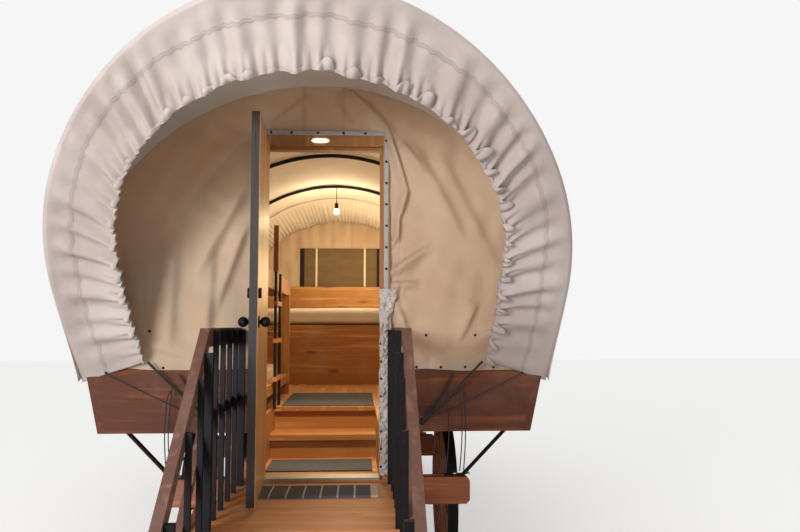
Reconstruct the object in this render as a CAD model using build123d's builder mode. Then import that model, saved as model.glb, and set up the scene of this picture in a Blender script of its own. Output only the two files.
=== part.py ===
"""Covered wagon for sleeping in: a flared timber box on wooden wheels, under a canvas bonnet
with a gathered hood at each end, a hinged door and a flight of steps at the rear.

Millimetres. +Z is up, the ground is Z = 0, and +Y runs from the door end to the tongue.
"""

from build123d import *
from math import asin, atan, atan2, ceil, cos, degrees, hypot, radians, sin, sqrt, tan
import os

os.makedirs("parts", exist_ok=True)

# Box
box_length = 5250.0
box_bottom_z = 1100.0
box_height = 420.0
box_bottom_half = 1310.0
box_flare = 12.5
board = 45.0
joist_height = 21.0
joist_width = 60.0
joist_count = 11
floor_board = 25.0
edge_clearance = 1.0
top_rail_width = 86.0
top_rail_height = 38.0
top_rail_overhang = 4.0

# Bonnet: three tangent arcs a side, given by their radii
cover_widest_half = box_bottom_half + 140.0
cover_widest_z = 1950.0
cover_crown_radius = cover_widest_half + 50.0
cover_shoulder_radius = cover_widest_half - 300.0
cover_lower_radius = cover_widest_half + 3050.0
cover_hem_z = 1470.0
cover_thick = 10.0
hood_lean = 38.0
hood_base_z = 1480.0
hood_base_gap = 30.0
ring_radius = box_bottom_half - 265.0
ring_centre_rise = 808.0
ring_leg_half = ring_radius - 35.0
canvas_gap = 0.3
end_canvas_gap = 2.0

# Hoops
hoop_tube = 34.0
hoop_places = (120.0, 1895.0, 3360.0, box_length - 120.0)
foot_plate = (74.0, 60.0, 6.0)
plate_overhang = 10.0
plate_reach = 80.0
plate_setback = 3.0
end_hoop_inset = 8.0
end_hoop_points = 16

# Doorway and door
door_shift = 25.0
leaf_width = 734.0
leaf_height = 2020.0
leaf_thick = 44.0
leaf_gap = 5.0
leaf_open = 87.0
jamb_width = 42.5
frame_depth = 115.0
frame_proud = 30.0
stop_cover = 18.0
header_height = 85.0
sill_height = 14.0
sill_lip = 9.0
hinge_radius = 6.0
hinge_offset = 6.5
pin_radius = 4.0
running_clearance = 0.05
hinge_height = 100.0
hinge_plate = (46.0, 3.0)
hinge_web_lap = 2.0
hinge_heights = (200.0, 1010.0, 1820.0)
knob_height = 926.0
knob_backset = 70.0
knob_radius = 27.0
knob_reach = 62.0
knob_neck = 10.0
knob_rose = (31.0, 6.0)
deadbolt_rise = 150.0
deadbolt_depth = 14.0
light_size = (105.0, 25.0, 6.0)
light_rise = 31.0
light_shift = -19.0

# Entry well
landing_z = 820.0
landing_board = 20.0
landing_depth = 744.0
landing_lip = 10.0
inner_step_z = 983.0
inner_step_depth = 327.0
well_inner_half = 372.0
nosing = 20.0
floor_nosing = (26.0, 32.0)
step_board = 38.0
riser_board = 20.0
cheek_board = 54.0

# Running gear
rail_half_gap = 440.0
rail_width = 100.0
rail_height = 160.0
bolster_height = 140.0
bolster_half = 800.0
bolster_depth = 120.0
stack_half = 600.0
cross_beam_depth = 100.0
cross_beam_height = 165.0
cross_beam_half = box_bottom_half - 360.0
cross_beam_clip = 22.0
cross_beam_inset = 120.0
rear_hub_place = 950.0
front_hub_place = box_length - 1050.0
rear_wheel_radius = 535.0
front_wheel_radius = 457.0
wheel_inner_x = 846.0
tyre_width = 70.0
tyre_thick = 12.0
felloe_depth = 62.0
felloe_inset = 5.0
nave_length = 240.0
nave_radius = 95.0
spoke_count = 14
spoke_width = 50.0
spoke_thick = 34.0
spoke_tenon = 10.0
spindle_radius = 30.0
spindle_collar = 15.0
nut_radius = 44.0
nut_length = 30.0
nut_gap = 5.0
axle_half = 700.0
axle_beam = (120.0, 130.0)
wheel_clearance = 5.0
kingpin_radius = 20.0
kingpin_head = (36.0, 25.0)
kingpin_drop = 20.0
reach_size = 90.0
reach_lift = 20.0
circle_iron_radius = 330.0
circle_iron_width = 60.0
circle_iron_thick = 12.0
bearing_gap = 0.5
sand_board_height = 118.0
brace_width = 50.0
brace_thick = 12.0
brace_foot = 110.0
brace_top_foot = 70.0
brace_top_inset = 120.0
brace_setback = 2.0
brace_turn = 6.0

# Tongue
hound_width = 70.0
hound_height = 110.0
hound_reach = 460.0
pivot_back = 60.0
tongue_side_gap = 6.0
tongue_width = 100.0
tongue_root_height = 110.0
tongue_tip_height = 75.0
tongue_length = 2700.0
tongue_pin_radius = 15.0
tongue_pin_proud = 12.0
ferrule_length = 180.0
hitch_hole_radius = 13.0
hitch_hole_back = 90.0

# Steps and rails
deck_depth = 1095.0
deck_half = 510.0
deck_z = 810.0
plank_thick = 38.0
plank_width = 421.0
plank_gap = 5.0
rim_height = 140.0
rim_thick = 38.0
leg_size = 89.0
tread_count = 3
tread_run = 225.0
tread_depth = 245.0
stair_tail = 25.0
stringer_lift = 30.0
stringer_depth = 340.0
rail_x = 485.0
newel_size = 38.0
foot_newel_share = 0.1
rail_top_z = 1735.0
rail_section = (45.0, 90.0)
mid_rail_z = 1350.0
mid_rail_section = (32.0, 60.0)
baluster_size = 25.0
rail_tail = 100.0
bend_back = 113.0
post_drop = 12.0
level_balusters = 4
cut_margin = 50.0

# Inside
bed_depth = 2130.0
bed_top_z = 1750.0
bed_half = box_bottom_half - 40.0
bed_board = 38.0
mattress_height = 170.0
mattress_inset = 40.0
mattress_end_gap = 60.0
mattress_corner = 60.0
headboard_z = (1975.0, 2250.0)
headboard_half = box_bottom_half - 110.0
headboard_leg = 60.0
headboard_leg_share = 0.6
bunk_places = (200.0, 2137.0)
bunk_inner_x = 372.0
bunk_width = box_bottom_half - 60.0 - bunk_inner_x
bunk_board = 32.0
bunk_lower_rise = (110.0, 180.0)
bunk_upper_rise = (864.0, 994.0)
bunk_post = 77.0
bunk_mattress = 130.0
bunk_mattress_gap = 5.0
bunk_mattress_corner = 50.0
ladder_place = 987.0
ladder_x = 355.0
ladder_rod_radius = 11.0
ladder_rod_half = 150.0
rung_size = (30.0, 320.0, 32.0)
rung_rises = (215.0, 491.0, 762.0)
tall_post_place = 1170.0
tall_post_size = 38.0
tall_post_rise = 380.0
window_half = 515.0
window_z = (2275.0, 2743.0)
flap_margin = 22.0
flap_thick = 4.0
strap_size = (25.0, 3.0)
strap_share = 0.62
mat_thick = 8.0
grid_mat_thick = 12.0
mat_table = (
    # middle's X, half-width, start, end, height it lies at, thickness
    (15.0, 345.0, -452.0, -181.0, deck_z, grid_mat_thick),
    (0.0, 340.0, 228.0, 626.0, landing_z, mat_thick),
    (20.0, 345.0, 1035.0, 2050.0, box_bottom_z + joist_height + floor_board, mat_thick),
)
bulb_z = 2973.0
bulb_radius = 34.0
lamp_cord_radius = 4.0
socket_size = (20.0, 60.0)
socket_sink = 6.0

# Worked out from the above
lean = radians(hood_lean)
flare = tan(radians(box_flare))
box_top_z = box_bottom_z + box_height
board_across = board / cos(radians(box_flare))
floor_top_z = box_bottom_z + joist_height + floor_board
rail_bottom_z = box_bottom_z - rail_height
bolster_bottom_z = rail_bottom_z - bolster_height
cross_beam_top_z = landing_z - landing_board
well_end = landing_depth - riser_board + inner_step_depth
top_rail_z = box_top_z + top_rail_height
frame_inner_half = leaf_width / 2 + leaf_gap
frame_outer_half = frame_inner_half + jamb_width
leaf_bottom_z = landing_z + sill_height + leaf_gap + edge_clearance
leaf_top_z = leaf_bottom_z + leaf_height
header_z = leaf_top_z + leaf_gap
frame_top_z = header_z + header_height
riser = deck_z / (tread_count + 1)
stair_slope = riser / tread_run
stair_foot = deck_depth + tread_count * tread_run + stair_tail
foot_newel_place = -deck_depth - (tread_count - foot_newel_share) * tread_run
tail_place = foot_newel_place - rail_tail

# The tongue's tip lies on the ground, which sets its slope
pivot_z = front_wheel_radius
pivot_place = front_hub_place + hound_reach - pivot_back
tip_half = tongue_tip_height / 2
tongue_slope = asin(pivot_z / hypot(tongue_length, tip_half)) - atan(tip_half / tongue_length)
tongue_reach = pivot_place + tongue_length * cos(tongue_slope) + tip_half * sin(tongue_slope)

# The origin is midway between the ends of the hand rails and the tongue's tip
door_end_y = -(tongue_reach + tail_place) / 2


def along(distance):
    """Y of a point that lies this far from the door end, towards the tongue."""
    return door_end_y + distance


def section_plane(distance):
    """Upright plane across the wagon: local x is +X and local y is +Z."""
    return Plane(origin=(0, along(distance), 0), x_dir=(1, 0, 0), z_dir=(0, -1, 0))


def leaning_plane(shift=0.0):
    """Plane of the rear hood, moved outwards by shift, with its origin at the hood's foot."""
    foot = (0, along(-hood_base_gap) - shift * cos(lean), hood_base_z - shift * sin(lean))
    return Plane(origin=foot, x_dir=(1, 0, 0), z_dir=(0, -cos(lean), -sin(lean)))


box_middle = Plane(origin=(0, along(box_length / 2), 0), x_dir=(1, 0, 0), z_dir=(0, -1, 0))
side_plane = Plane.YZ


def on_circle(centre, radius, angle):
    """Point on a circle, with its angle in degrees from +X."""
    return (centre[0] + radius * cos(radians(angle)), centre[1] + radius * sin(radians(angle)))


def mirrored(point):
    """The same point on the wagon's left side."""
    return (-point[0], point[1])


def crown_drop():
    """How far the crown arc's centre lies below the widest level."""
    centre_step = cover_crown_radius - cover_shoulder_radius
    return sqrt(centre_step**2 - (cover_widest_half - cover_shoulder_radius) ** 2)


def crown_top_z():
    """Height of the bonnet's crown."""
    return cover_widest_z - crown_drop() + cover_crown_radius


def cover_arcs(inset, base_z):
    """Draw the bonnet's section, inset from its outer face, from right foot to left foot."""
    lower = cover_lower_radius - inset
    shoulder = cover_shoulder_radius - inset
    crown = cover_crown_radius - inset
    lower_centre = (cover_widest_half - cover_lower_radius, cover_widest_z)
    shoulder_centre = (cover_widest_half - cover_shoulder_radius, cover_widest_z)
    drop = crown_drop()
    crown_centre = (0.0, cover_widest_z - drop)
    join = degrees(atan2(drop, shoulder_centre[0]))
    foot = -degrees(asin((cover_widest_z - base_z) / lower))
    right = [
        on_circle(lower_centre, lower, foot),
        on_circle(lower_centre, lower, foot / 2),
        on_circle(lower_centre, lower, 0),
        on_circle(shoulder_centre, shoulder, join / 2),
        on_circle(shoulder_centre, shoulder, join),
    ]
    top = on_circle(crown_centre, crown, 90)
    ThreePointArc(right[0], right[1], right[2])
    ThreePointArc(right[2], right[3], right[4])
    ThreePointArc(right[4], top, mirrored(right[4]))
    ThreePointArc(mirrored(right[4]), mirrored(right[3]), mirrored(right[2]))
    ThreePointArc(mirrored(right[2]), mirrored(right[1]), mirrored(right[0]))
    return right[0]


def box_half(z):
    """Half-width of the box's outer face at this height."""
    return box_bottom_half + (z - box_bottom_z) * flare


def save(piece, name):
    """Label a finished piece and write it."""
    piece.part.label = name
    export_step(piece.part, f"parts/{name}.step")


# Box: flared sides, end boards and their top rails
with BuildPart() as box_sides:
    with BuildSketch(section_plane(0)):
        with BuildLine():
            Polyline(
                (box_half(box_bottom_z), box_bottom_z),
                (box_half(box_top_z), box_top_z),
                (box_half(box_top_z) - board_across, box_top_z),
                (box_half(box_bottom_z) - board_across, box_bottom_z),
                close=True,
            )
        make_face()
    extrude(amount=-box_length)
    mirror(about=Plane.YZ)
save(box_sides, "box_sides")


end_low = box_half(box_bottom_z) - board_across
end_high = box_half(box_top_z) - board_across
end_corners = (
    (-end_low, box_bottom_z), (end_low, box_bottom_z), (end_high, box_top_z), (-end_high, box_top_z),
)


with BuildPart() as box_end_rear:
    with BuildSketch(section_plane(0)):
        Polygon(*end_corners, align=None)
        with Locations((door_shift, (box_bottom_z + box_top_z) / 2)):
            Rectangle(2 * frame_outer_half, box_height, mode=Mode.SUBTRACT)
    extrude(amount=-board)
save(box_end_rear, "box_end_rear")

with BuildPart() as box_end_front:
    with BuildSketch(section_plane(box_length - board)):
        Polygon(*end_corners, align=None)
    extrude(amount=-board)
save(box_end_front, "box_end_front")

with BuildPart() as top_rails:
    with BuildSketch(section_plane(0)):
        edge = box_half(box_top_z) + top_rail_overhang
        with Locations(
            (edge - top_rail_width / 2, box_top_z + top_rail_height / 2),
            (top_rail_width / 2 - edge, box_top_z + top_rail_height / 2),
        ):
            Rectangle(top_rail_width, top_rail_height)
    extrude(amount=-box_length)
save(top_rails, "top_rails")

# Floor on its joists, open over the entry well
floor_half = box_half(box_bottom_z + joist_height) - board_across - edge_clearance
joist_half = box_half(box_bottom_z) - board_across - edge_clearance
inner_length = box_length - 2 * board
well_half = well_inner_half + cheek_board
frame_end = frame_depth - frame_proud
nosing_depth, nosing_thick = floor_nosing
nosing_place = well_end - riser_board - nosing_depth

with BuildPart() as floor:
    with BuildSketch(Plane.XY.offset(floor_top_z - floor_board)):
        with Locations((0, along(box_length / 2))):
            Rectangle(2 * floor_half, inner_length)
        with Locations((0, along((frame_end + well_end) / 2))):
            Rectangle(2 * well_half, well_end - frame_end, mode=Mode.SUBTRACT)
        with Locations((door_shift, along((board + frame_end) / 2))):
            Rectangle(2 * frame_outer_half, frame_end - board, mode=Mode.SUBTRACT)
    extrude(amount=floor_board)
    with BuildSketch(Plane.XY.offset(floor_top_z - nosing_thick)):
        with Locations((0, along((nosing_place + well_end) / 2))):
            Rectangle(2 * well_inner_half, well_end - nosing_place)
    extrude(amount=nosing_thick)
save(floor, "floor")

with BuildPart() as floor_joists:
    joist_step = (inner_length - joist_width) / (joist_count - 1)
    for number in range(joist_count):
        place = board + joist_width / 2 + number * joist_step
        inside_well = place - joist_width / 2 < well_end
        beside_frame = place - joist_width / 2 < frame_end
        with BuildSketch(Plane.XY.offset(box_bottom_z)):
            with Locations((0, along(place))):
                Rectangle(2 * joist_half, joist_width)
                if inside_well:
                    Rectangle(2 * well_half, joist_width, mode=Mode.SUBTRACT)
            if beside_frame:
                with Locations((door_shift, along(place))):
                    Rectangle(2 * frame_outer_half, joist_width, mode=Mode.SUBTRACT)
        extrude(amount=joist_height)
save(floor_joists, "floor_joists")

# Bonnet and its two hoods
cover_reach = 1.2 * tan(lean) * (cover_widest_z + cover_widest_half - hood_base_z)


def hood_edge(z, shift=0.0):
    """Distance of the rear hood's plane from the door end at height z, moved outwards."""
    return -hood_base_gap - (z - hood_base_z) * tan(lean) - shift / cos(lean)


side_low_z = cover_hem_z - cut_margin
side_high_z = cover_widest_z + cover_widest_half
side_wide = cover_widest_half + cut_margin

with BuildPart() as cover_barrel:
    with BuildSketch(section_plane(-cover_reach)):
        with BuildLine():
            outer = cover_arcs(0, cover_hem_z)
            inner = cover_arcs(cover_thick, cover_hem_z)
            Line(outer, inner)
            Line(mirrored(outer), mirrored(inner))
        make_face()
    extrude(amount=-(box_length + 2 * cover_reach))
    with BuildSketch(side_plane):
        with BuildLine():
            Polyline(
                (along(hood_edge(side_low_z)), side_low_z),
                (along(hood_edge(side_high_z)), side_high_z),
                (along(box_length - hood_edge(side_high_z)), side_high_z),
                (along(box_length - hood_edge(side_low_z)), side_low_z),
                close=True,
            )
        make_face()
    extrude(amount=side_wide, both=True, mode=Mode.INTERSECT)
save(cover_barrel, "cover_barrel")

with BuildPart() as hoods:
    with BuildSketch(section_plane(-cover_reach)):
        with BuildLine():
            outer = cover_arcs(0, cover_hem_z)
            Line(outer, mirrored(outer))
        make_face()
    extrude(amount=-2 * cover_reach)
    with BuildSketch(side_plane):
        with BuildLine():
            Polyline(
                (along(hood_edge(side_low_z)), side_low_z),
                (along(hood_edge(side_high_z)), side_high_z),
                (along(hood_edge(side_high_z, cover_thick)), side_high_z),
                (along(hood_edge(side_low_z, cover_thick)), side_low_z),
                close=True,
            )
        make_face()
    extrude(amount=side_wide, both=True, mode=Mode.INTERSECT)
    with BuildSketch(leaning_plane(-2 * cover_thick)):
        leg_low = (ring_leg_half, 0)
        leg_fall = ring_centre_rise
        leg_bow = ring_radius - ring_leg_half
        leg_radius = (leg_fall**2 + leg_bow**2) / (2 * leg_bow)
        leg_centre = (ring_radius - leg_radius, ring_centre_rise)
        half_turn = -degrees(asin(leg_fall / leg_radius)) / 2
        leg_mid = on_circle(leg_centre, leg_radius, half_turn)
        waist = (ring_radius, ring_centre_rise)
        with BuildLine():
            ThreePointArc(leg_low, leg_mid, waist)
            ThreePointArc(waist, (0, ring_centre_rise + ring_radius), mirrored(waist))
            ThreePointArc(mirrored(waist), mirrored(leg_mid), mirrored(leg_low))
            leg_end = (ring_leg_half, -2 * cut_margin)
            Polyline(mirrored(leg_low), mirrored(leg_end), leg_end, leg_low)
        make_face()
    extrude(amount=4 * cover_thick, mode=Mode.SUBTRACT)
    mirror(about=box_middle)
save(hoods, "hoods")


# End walls, notched for the foot plates of the leaning hoops
end_wall_inset = cover_thick + canvas_gap
plate_x = box_half(box_top_z) + plate_overhang - foot_plate[0] / 2
notch_z = top_rail_z + foot_plate[2] / 2
notch_places = ((plate_x, notch_z), (-plate_x, notch_z))
notch_size = (foot_plate[0] + 2 * canvas_gap, foot_plate[2] + 2 * canvas_gap)

with BuildPart() as end_canvas_rear:
    with BuildSketch(section_plane(-end_canvas_gap - cover_thick)):
        with BuildLine():
            wall_foot = cover_arcs(end_wall_inset, cover_hem_z + cover_thick)
            Line(wall_foot, mirrored(wall_foot))
        make_face()
        with Locations((door_shift, frame_top_z / 2)):
            Rectangle(2 * frame_outer_half, frame_top_z, mode=Mode.SUBTRACT)
        with Locations(*notch_places):
            Rectangle(*notch_size, mode=Mode.SUBTRACT)
    extrude(amount=-cover_thick)
save(end_canvas_rear, "end_canvas_rear")

window_mid_z = sum(window_z) / 2
window_height = window_z[1] - window_z[0]

with BuildPart() as end_canvas_front:
    with BuildSketch(section_plane(box_length + end_canvas_gap)):
        with BuildLine():
            wall_foot = cover_arcs(end_wall_inset, cover_hem_z + cover_thick)
            Line(wall_foot, mirrored(wall_foot))
        make_face()
        with Locations((0, window_mid_z)):
            Rectangle(2 * window_half, window_height, mode=Mode.SUBTRACT)
        with Locations(*notch_places):
            Rectangle(*notch_size, mode=Mode.SUBTRACT)
    extrude(amount=-cover_thick)
save(end_canvas_front, "end_canvas_front")

with BuildPart() as window_flap:
    flap_place = box_length + end_canvas_gap - flap_thick
    with BuildSketch(section_plane(flap_place)):
        with Locations((0, window_mid_z)):
            Rectangle(2 * (window_half + flap_margin), window_height + 2 * flap_margin)
    extrude(amount=-flap_thick)
    strap_x = strap_share * window_half
    with BuildSketch(section_plane(flap_place)):
        with Locations((-strap_x, window_mid_z), (strap_x, window_mid_z)):
            Rectangle(strap_size[0], window_height + 2 * flap_margin)
    extrude(amount=strap_size[1])
save(window_flap, "window_flap")

# Hoops: bent tube on foot plates that stand on the top rails
hoop_inset = cover_thick + canvas_gap + hoop_tube / 2
hoop_foot_z = top_rail_z + foot_plate[2] / 3

with BuildPart() as hoops:
    for place in hoop_places:
        with BuildLine(section_plane(place)) as hoop_line:
            cover_arcs(hoop_inset, hoop_foot_z)
        with BuildSketch(Plane(hoop_line.line @ 0, z_dir=hoop_line.line % 0)):
            Circle(hoop_tube / 2)
        sweep(path=hoop_line.line)
        with Locations(
            (plate_x, along(place), top_rail_z + foot_plate[2] / 2),
            (-plate_x, along(place), top_rail_z + foot_plate[2] / 2),
        ):
            Box(*foot_plate)
save(hoops, "hoops")

# Leaning end hoops, each on plates that reach back on to the top rails. Seen along the wagon
# they follow the bonnet's section, so in their own leaning plane they are drawn out in height.
end_foot_z = box_top_z
with BuildLine(section_plane(0)) as upright_line:
    cover_arcs(hoop_inset + end_hoop_inset, end_foot_z)
upright = [upright_line.line @ (number / end_hoop_points) for number in range(end_hoop_points + 1)]
leaning = [(point.X, (point.Z - hood_base_z) / cos(lean)) for point in upright]
plate_end = hood_edge(top_rail_z) + plate_setback

with BuildPart() as end_hoops:
    with BuildLine(leaning_plane(-hoop_tube / 2 - canvas_gap)) as end_line:
        Spline(*leaning)
    with BuildSketch(Plane(end_line.line @ 0, z_dir=end_line.line % 0)):
        Circle(hoop_tube / 2)
    sweep(path=end_line.line)
    split(bisect_by=Plane.XY.offset(hoop_foot_z), keep=Keep.TOP)
    with BuildSketch(Plane.XY.offset(top_rail_z)):
        with Locations(
            (plate_x, along((plate_reach + plate_end) / 2)),
            (-plate_x, along((plate_reach + plate_end) / 2)),
        ):
            Rectangle(foot_plate[0], plate_reach - plate_end)
    extrude(amount=foot_plate[2])
    mirror(about=box_middle)
save(end_hoops, "end_hoops")

# Doorway: frame with stops, sill plate and a small light in the header
with BuildPart() as door_frame:
    with BuildSketch(section_plane(-frame_proud)):
        with Locations((door_shift, (landing_z + frame_top_z) / 2)):
            Rectangle(2 * frame_outer_half, frame_top_z - landing_z)
        with Locations((door_shift, (landing_z + header_z) / 2)):
            Rectangle(2 * frame_inner_half, header_z - landing_z, mode=Mode.SUBTRACT)
    extrude(amount=-frame_depth)
    stop_place = -frame_proud + leaf_thick + leaf_gap
    stop_half = frame_inner_half - stop_cover
    with BuildSketch(section_plane(stop_place)):
        with Locations((door_shift, (landing_z + header_z) / 2)):
            Rectangle(2 * frame_inner_half, header_z - landing_z)
        with Locations((door_shift, (landing_z + header_z - stop_cover) / 2)):
            Rectangle(2 * stop_half, header_z - stop_cover - landing_z, mode=Mode.SUBTRACT)
    extrude(amount=-(frame_depth - leaf_thick - leaf_gap))
save(door_frame, "door_frame")

with BuildPart() as door_sill:
    with BuildSketch(section_plane(-frame_proud - sill_lip)):
        with Locations((door_shift, landing_z + sill_height / 2)):
            Rectangle(2 * stop_half, sill_height)
    extrude(amount=-(frame_depth + sill_lip))
save(door_sill, "door_sill")

with BuildPart() as header_light:
    light_width, light_height, light_proud = light_size
    with BuildSketch(section_plane(-frame_proud)):
        with Locations((door_shift + light_shift, header_z + light_rise)):
            Ellipse(light_width / 2, light_height / 2)
    extrude(amount=light_proud)
save(header_light, "header_light")

# Door leaf, stored open: local x runs along the leaf and local y through it
hinge_x = door_shift - frame_inner_half - hinge_offset
hinge_y = along(-frame_proud - hinge_radius)
swing = radians(leaf_open)
leaf_start = hinge_offset + leaf_gap


def leaf_plane(z):
    """Level plane on the open leaf, with its origin on the hinge axis."""
    return Plane(origin=(hinge_x, hinge_y, z), x_dir=(cos(swing), -sin(swing), 0), z_dir=(0, 0, 1))


with BuildPart() as door_leaf:
    with BuildSketch(leaf_plane(leaf_bottom_z)):
        with Locations((leaf_start, hinge_radius)):
            Rectangle(leaf_width, leaf_thick, align=(Align.MIN, Align.MIN))
    extrude(amount=leaf_height)
save(door_leaf, "door_leaf")


def leaf_face_plane(local_x, local_y, z):
    """Plane facing outwards from the leaf's outer face."""
    point = leaf_plane(z).from_local_coords(Vector(local_x, local_y, 0))
    outwards = (-sin(swing), -cos(swing), 0)
    return Plane(origin=point, x_dir=(cos(swing), -sin(swing), 0), z_dir=outwards)


knob_x = leaf_start + leaf_width - knob_backset
knob_z = leaf_bottom_z + knob_height
outer_y = hinge_radius
inner_y = hinge_radius + leaf_thick

with BuildPart() as door_knobs:
    rose_radius, rose_thick = knob_rose
    for face_y, way in ((outer_y, 1), (inner_y, -1)):
        knob_plane = leaf_face_plane(knob_x, face_y, knob_z)
        with BuildSketch(knob_plane):
            Circle(rose_radius)
        extrude(amount=rose_thick * way)
        with BuildSketch(knob_plane):
            Circle(knob_neck)
        extrude(amount=(knob_reach - knob_radius) * way)
        with Locations(knob_plane.offset((knob_reach - knob_radius) * way)):
            Sphere(knob_radius)
        with BuildSketch(leaf_face_plane(knob_x, face_y, knob_z + deadbolt_rise)):
            Circle(knob_radius)
        extrude(amount=deadbolt_depth * way)
save(door_knobs, "door_knobs")

# Hinges: pins and outer knuckles on the frame, the middle knuckle on the leaf
knuckle = hinge_height / 3
plate_width, plate_thick = hinge_plate
hinge_web = hinge_radius + hinge_web_lap

with BuildPart() as hinge_pins:
    for rise in hinge_heights:
        low = leaf_bottom_z + rise - hinge_height / 2
        for base in (low, low + 2 * knuckle + bearing_gap):
            with BuildSketch(Plane.XY.offset(base)):
                with Locations((hinge_x, hinge_y)):
                    Circle(hinge_radius)
                with Locations((hinge_x, hinge_y + hinge_radius)):
                    Rectangle(hinge_web, plate_thick, align=(Align.MAX, Align.MAX))
            extrude(amount=knuckle - bearing_gap)
        with BuildSketch(Plane.XY.offset(low)):
            with Locations((hinge_x, hinge_y)):
                Circle(pin_radius)
        extrude(amount=hinge_height)
        with BuildSketch(Plane.XY.offset(low)):
            with Locations((hinge_x - hinge_radius - edge_clearance, hinge_y + hinge_radius)):
                Rectangle(plate_width, plate_thick, align=(Align.MAX, Align.MAX))
        extrude(amount=hinge_height)
save(hinge_pins, "hinge_pins")

with BuildPart() as hinge_leaves:
    for rise in hinge_heights:
        low = leaf_bottom_z + rise - hinge_height / 2
        with BuildSketch(leaf_plane(low + knuckle)):
            Circle(hinge_radius)
            with Locations((0, hinge_radius - bearing_gap)):
                Rectangle(hinge_web, plate_thick - bearing_gap, align=(Align.MIN, Align.MAX))
            Circle(pin_radius + running_clearance, mode=Mode.SUBTRACT)
        extrude(amount=knuckle)
        with BuildSketch(leaf_plane(low)):
            with Locations((hinge_radius + edge_clearance, hinge_radius)):
                Rectangle(plate_width, plate_thick, align=(Align.MIN, Align.MAX))
        extrude(amount=hinge_height)
save(hinge_leaves, "hinge_leaves")

# Entry well: landing, one inner step and the cheeks that stand beside them
landing_start = -frame_proud - landing_lip
landing_half = rail_half_gap - edge_clearance
step_start = landing_depth - riser_board
tread_low_z = inner_step_z - step_board
riser_top_z = floor_top_z - nosing_thick
with BuildPart() as entry_well:
    with BuildSketch(Plane.XY.offset(landing_z - landing_board)):
        with Locations((0, along((landing_start + landing_depth) / 2))):
            Rectangle(2 * landing_half, landing_depth - landing_start)
    extrude(amount=landing_board)
    with BuildSketch(side_plane):
        with BuildLine():
            Polyline(
                (along(step_start), landing_z),
                (along(step_start), tread_low_z),
                (along(step_start - nosing), tread_low_z),
                (along(step_start - nosing), inner_step_z),
                (along(well_end - riser_board), inner_step_z),
                (along(well_end - riser_board), riser_top_z),
                (along(well_end), riser_top_z),
                (along(well_end), tread_low_z),
                (along(landing_depth), tread_low_z),
                (along(landing_depth), landing_z),
                close=True,
            )
        make_face()
    extrude(amount=well_inner_half, both=True)
    # The cheeks stand on the landing, and step up over the rear bolster beyond it
    for cheek_x in (well_inner_half, -well_half):
        with BuildSketch(side_plane.offset(cheek_x)):
            with BuildLine():
                Polyline(
                    (along(frame_end), landing_z),
                    (along(landing_depth), landing_z),
                    (along(landing_depth), tread_low_z),
                    (along(well_end), tread_low_z),
                    (along(well_end), floor_top_z),
                    (along(frame_end), floor_top_z),
                    close=True,
                )
            make_face()
        extrude(amount=cheek_board)
save(entry_well, "entry_well")

# Chassis: two rails on bolsters, cross beams near each end, and flat iron braces
rail_middle = rail_half_gap + rail_width / 2
with BuildPart() as chassis_rails:
    with BuildSketch(Plane.XY.offset(rail_bottom_z)):
        with Locations((rail_middle, along(box_length / 2)), (-rail_middle, along(box_length / 2))):
            Rectangle(rail_width, box_length)
    extrude(amount=rail_height)
save(chassis_rails, "chassis_rails")

cross_beam_bottom_z = cross_beam_top_z - cross_beam_height
front_beam_inset = box_length - cross_beam_inset - cross_beam_depth


def beam_outline_points(half, low, high, clip):
    """Corners of a beam seen from its end, with clipped ends."""
    return (
        (-half + clip, low), (half - clip, low), (half, low + clip), (half, high - clip),
        (half - clip, high), (-half + clip, high), (-half, high - clip), (-half, low + clip),
    )


with BuildPart() as cross_beams:
    beam_corners = beam_outline_points(
        cross_beam_half, cross_beam_bottom_z, cross_beam_top_z, cross_beam_clip
    )
    for place in (cross_beam_inset, front_beam_inset):
        with BuildSketch(section_plane(place)):
            Polygon(*beam_corners, align=None)
        extrude(amount=-cross_beam_depth)
save(cross_beams, "cross_beams")

brace_top_x = box_half(box_bottom_z) - brace_top_inset - brace_setback
brace_bend_x = cross_beam_half - cross_beam_clip - brace_top_inset / 6
brace_start_x = brace_bend_x - brace_foot
brace_mid = cross_beam_inset + (cross_beam_depth - brace_width) / 2
brace_profile = (
    (brace_start_x, cross_beam_top_z),
    (brace_bend_x + brace_turn, cross_beam_top_z),
    (brace_top_x + brace_turn, box_bottom_z - brace_thick),
    (brace_top_x + brace_top_foot, box_bottom_z - brace_thick),
    (brace_top_x + brace_top_foot, box_bottom_z),
    (brace_top_x, box_bottom_z),
    (brace_bend_x, cross_beam_top_z + brace_thick),
    (brace_start_x, cross_beam_top_z + brace_thick),
)
with BuildPart() as brace_irons:
    for place in (brace_mid, box_length - brace_mid - brace_width):
        with BuildSketch(section_plane(place)):
            Polygon(*brace_profile, align=None)
        extrude(amount=-brace_width)
    mirror(about=Plane.YZ)
save(brace_irons, "brace_irons")


rear_axle_top = rear_wheel_radius + axle_beam[1] / 2
nave_middle = wheel_inner_x + tyre_width / 2
nave_in = nave_middle - nave_length / 2
nave_out = nave_middle + nave_length / 2
nut_start = nave_out + wheel_clearance


def axle(place, hub_z):
    """Axle timber with a steel spindle and nut at each end, as one piece."""
    with BuildPart() as piece:
        with BuildSketch(Plane.XY.offset(hub_z - axle_beam[1] / 2)):
            with Locations((0, along(place))):
                Rectangle(2 * axle_half, axle_beam[0])
        extrude(amount=axle_beam[1])
        for side in (1, -1):
            for radius, start, end in (
                (spindle_radius + spindle_collar, axle_half, nave_in - wheel_clearance),
                (spindle_radius, axle_half, nut_start + nut_gap),
                (nut_radius, nut_start, nut_start + nut_length),
            ):
                spindle_plane = Plane(
                    origin=(side * start, along(place), hub_z), x_dir=(0, 1, 0), z_dir=(side, 0, 0)
                )
                with BuildSketch(spindle_plane):
                    Circle(radius)
                extrude(amount=end - start)
    return piece


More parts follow.
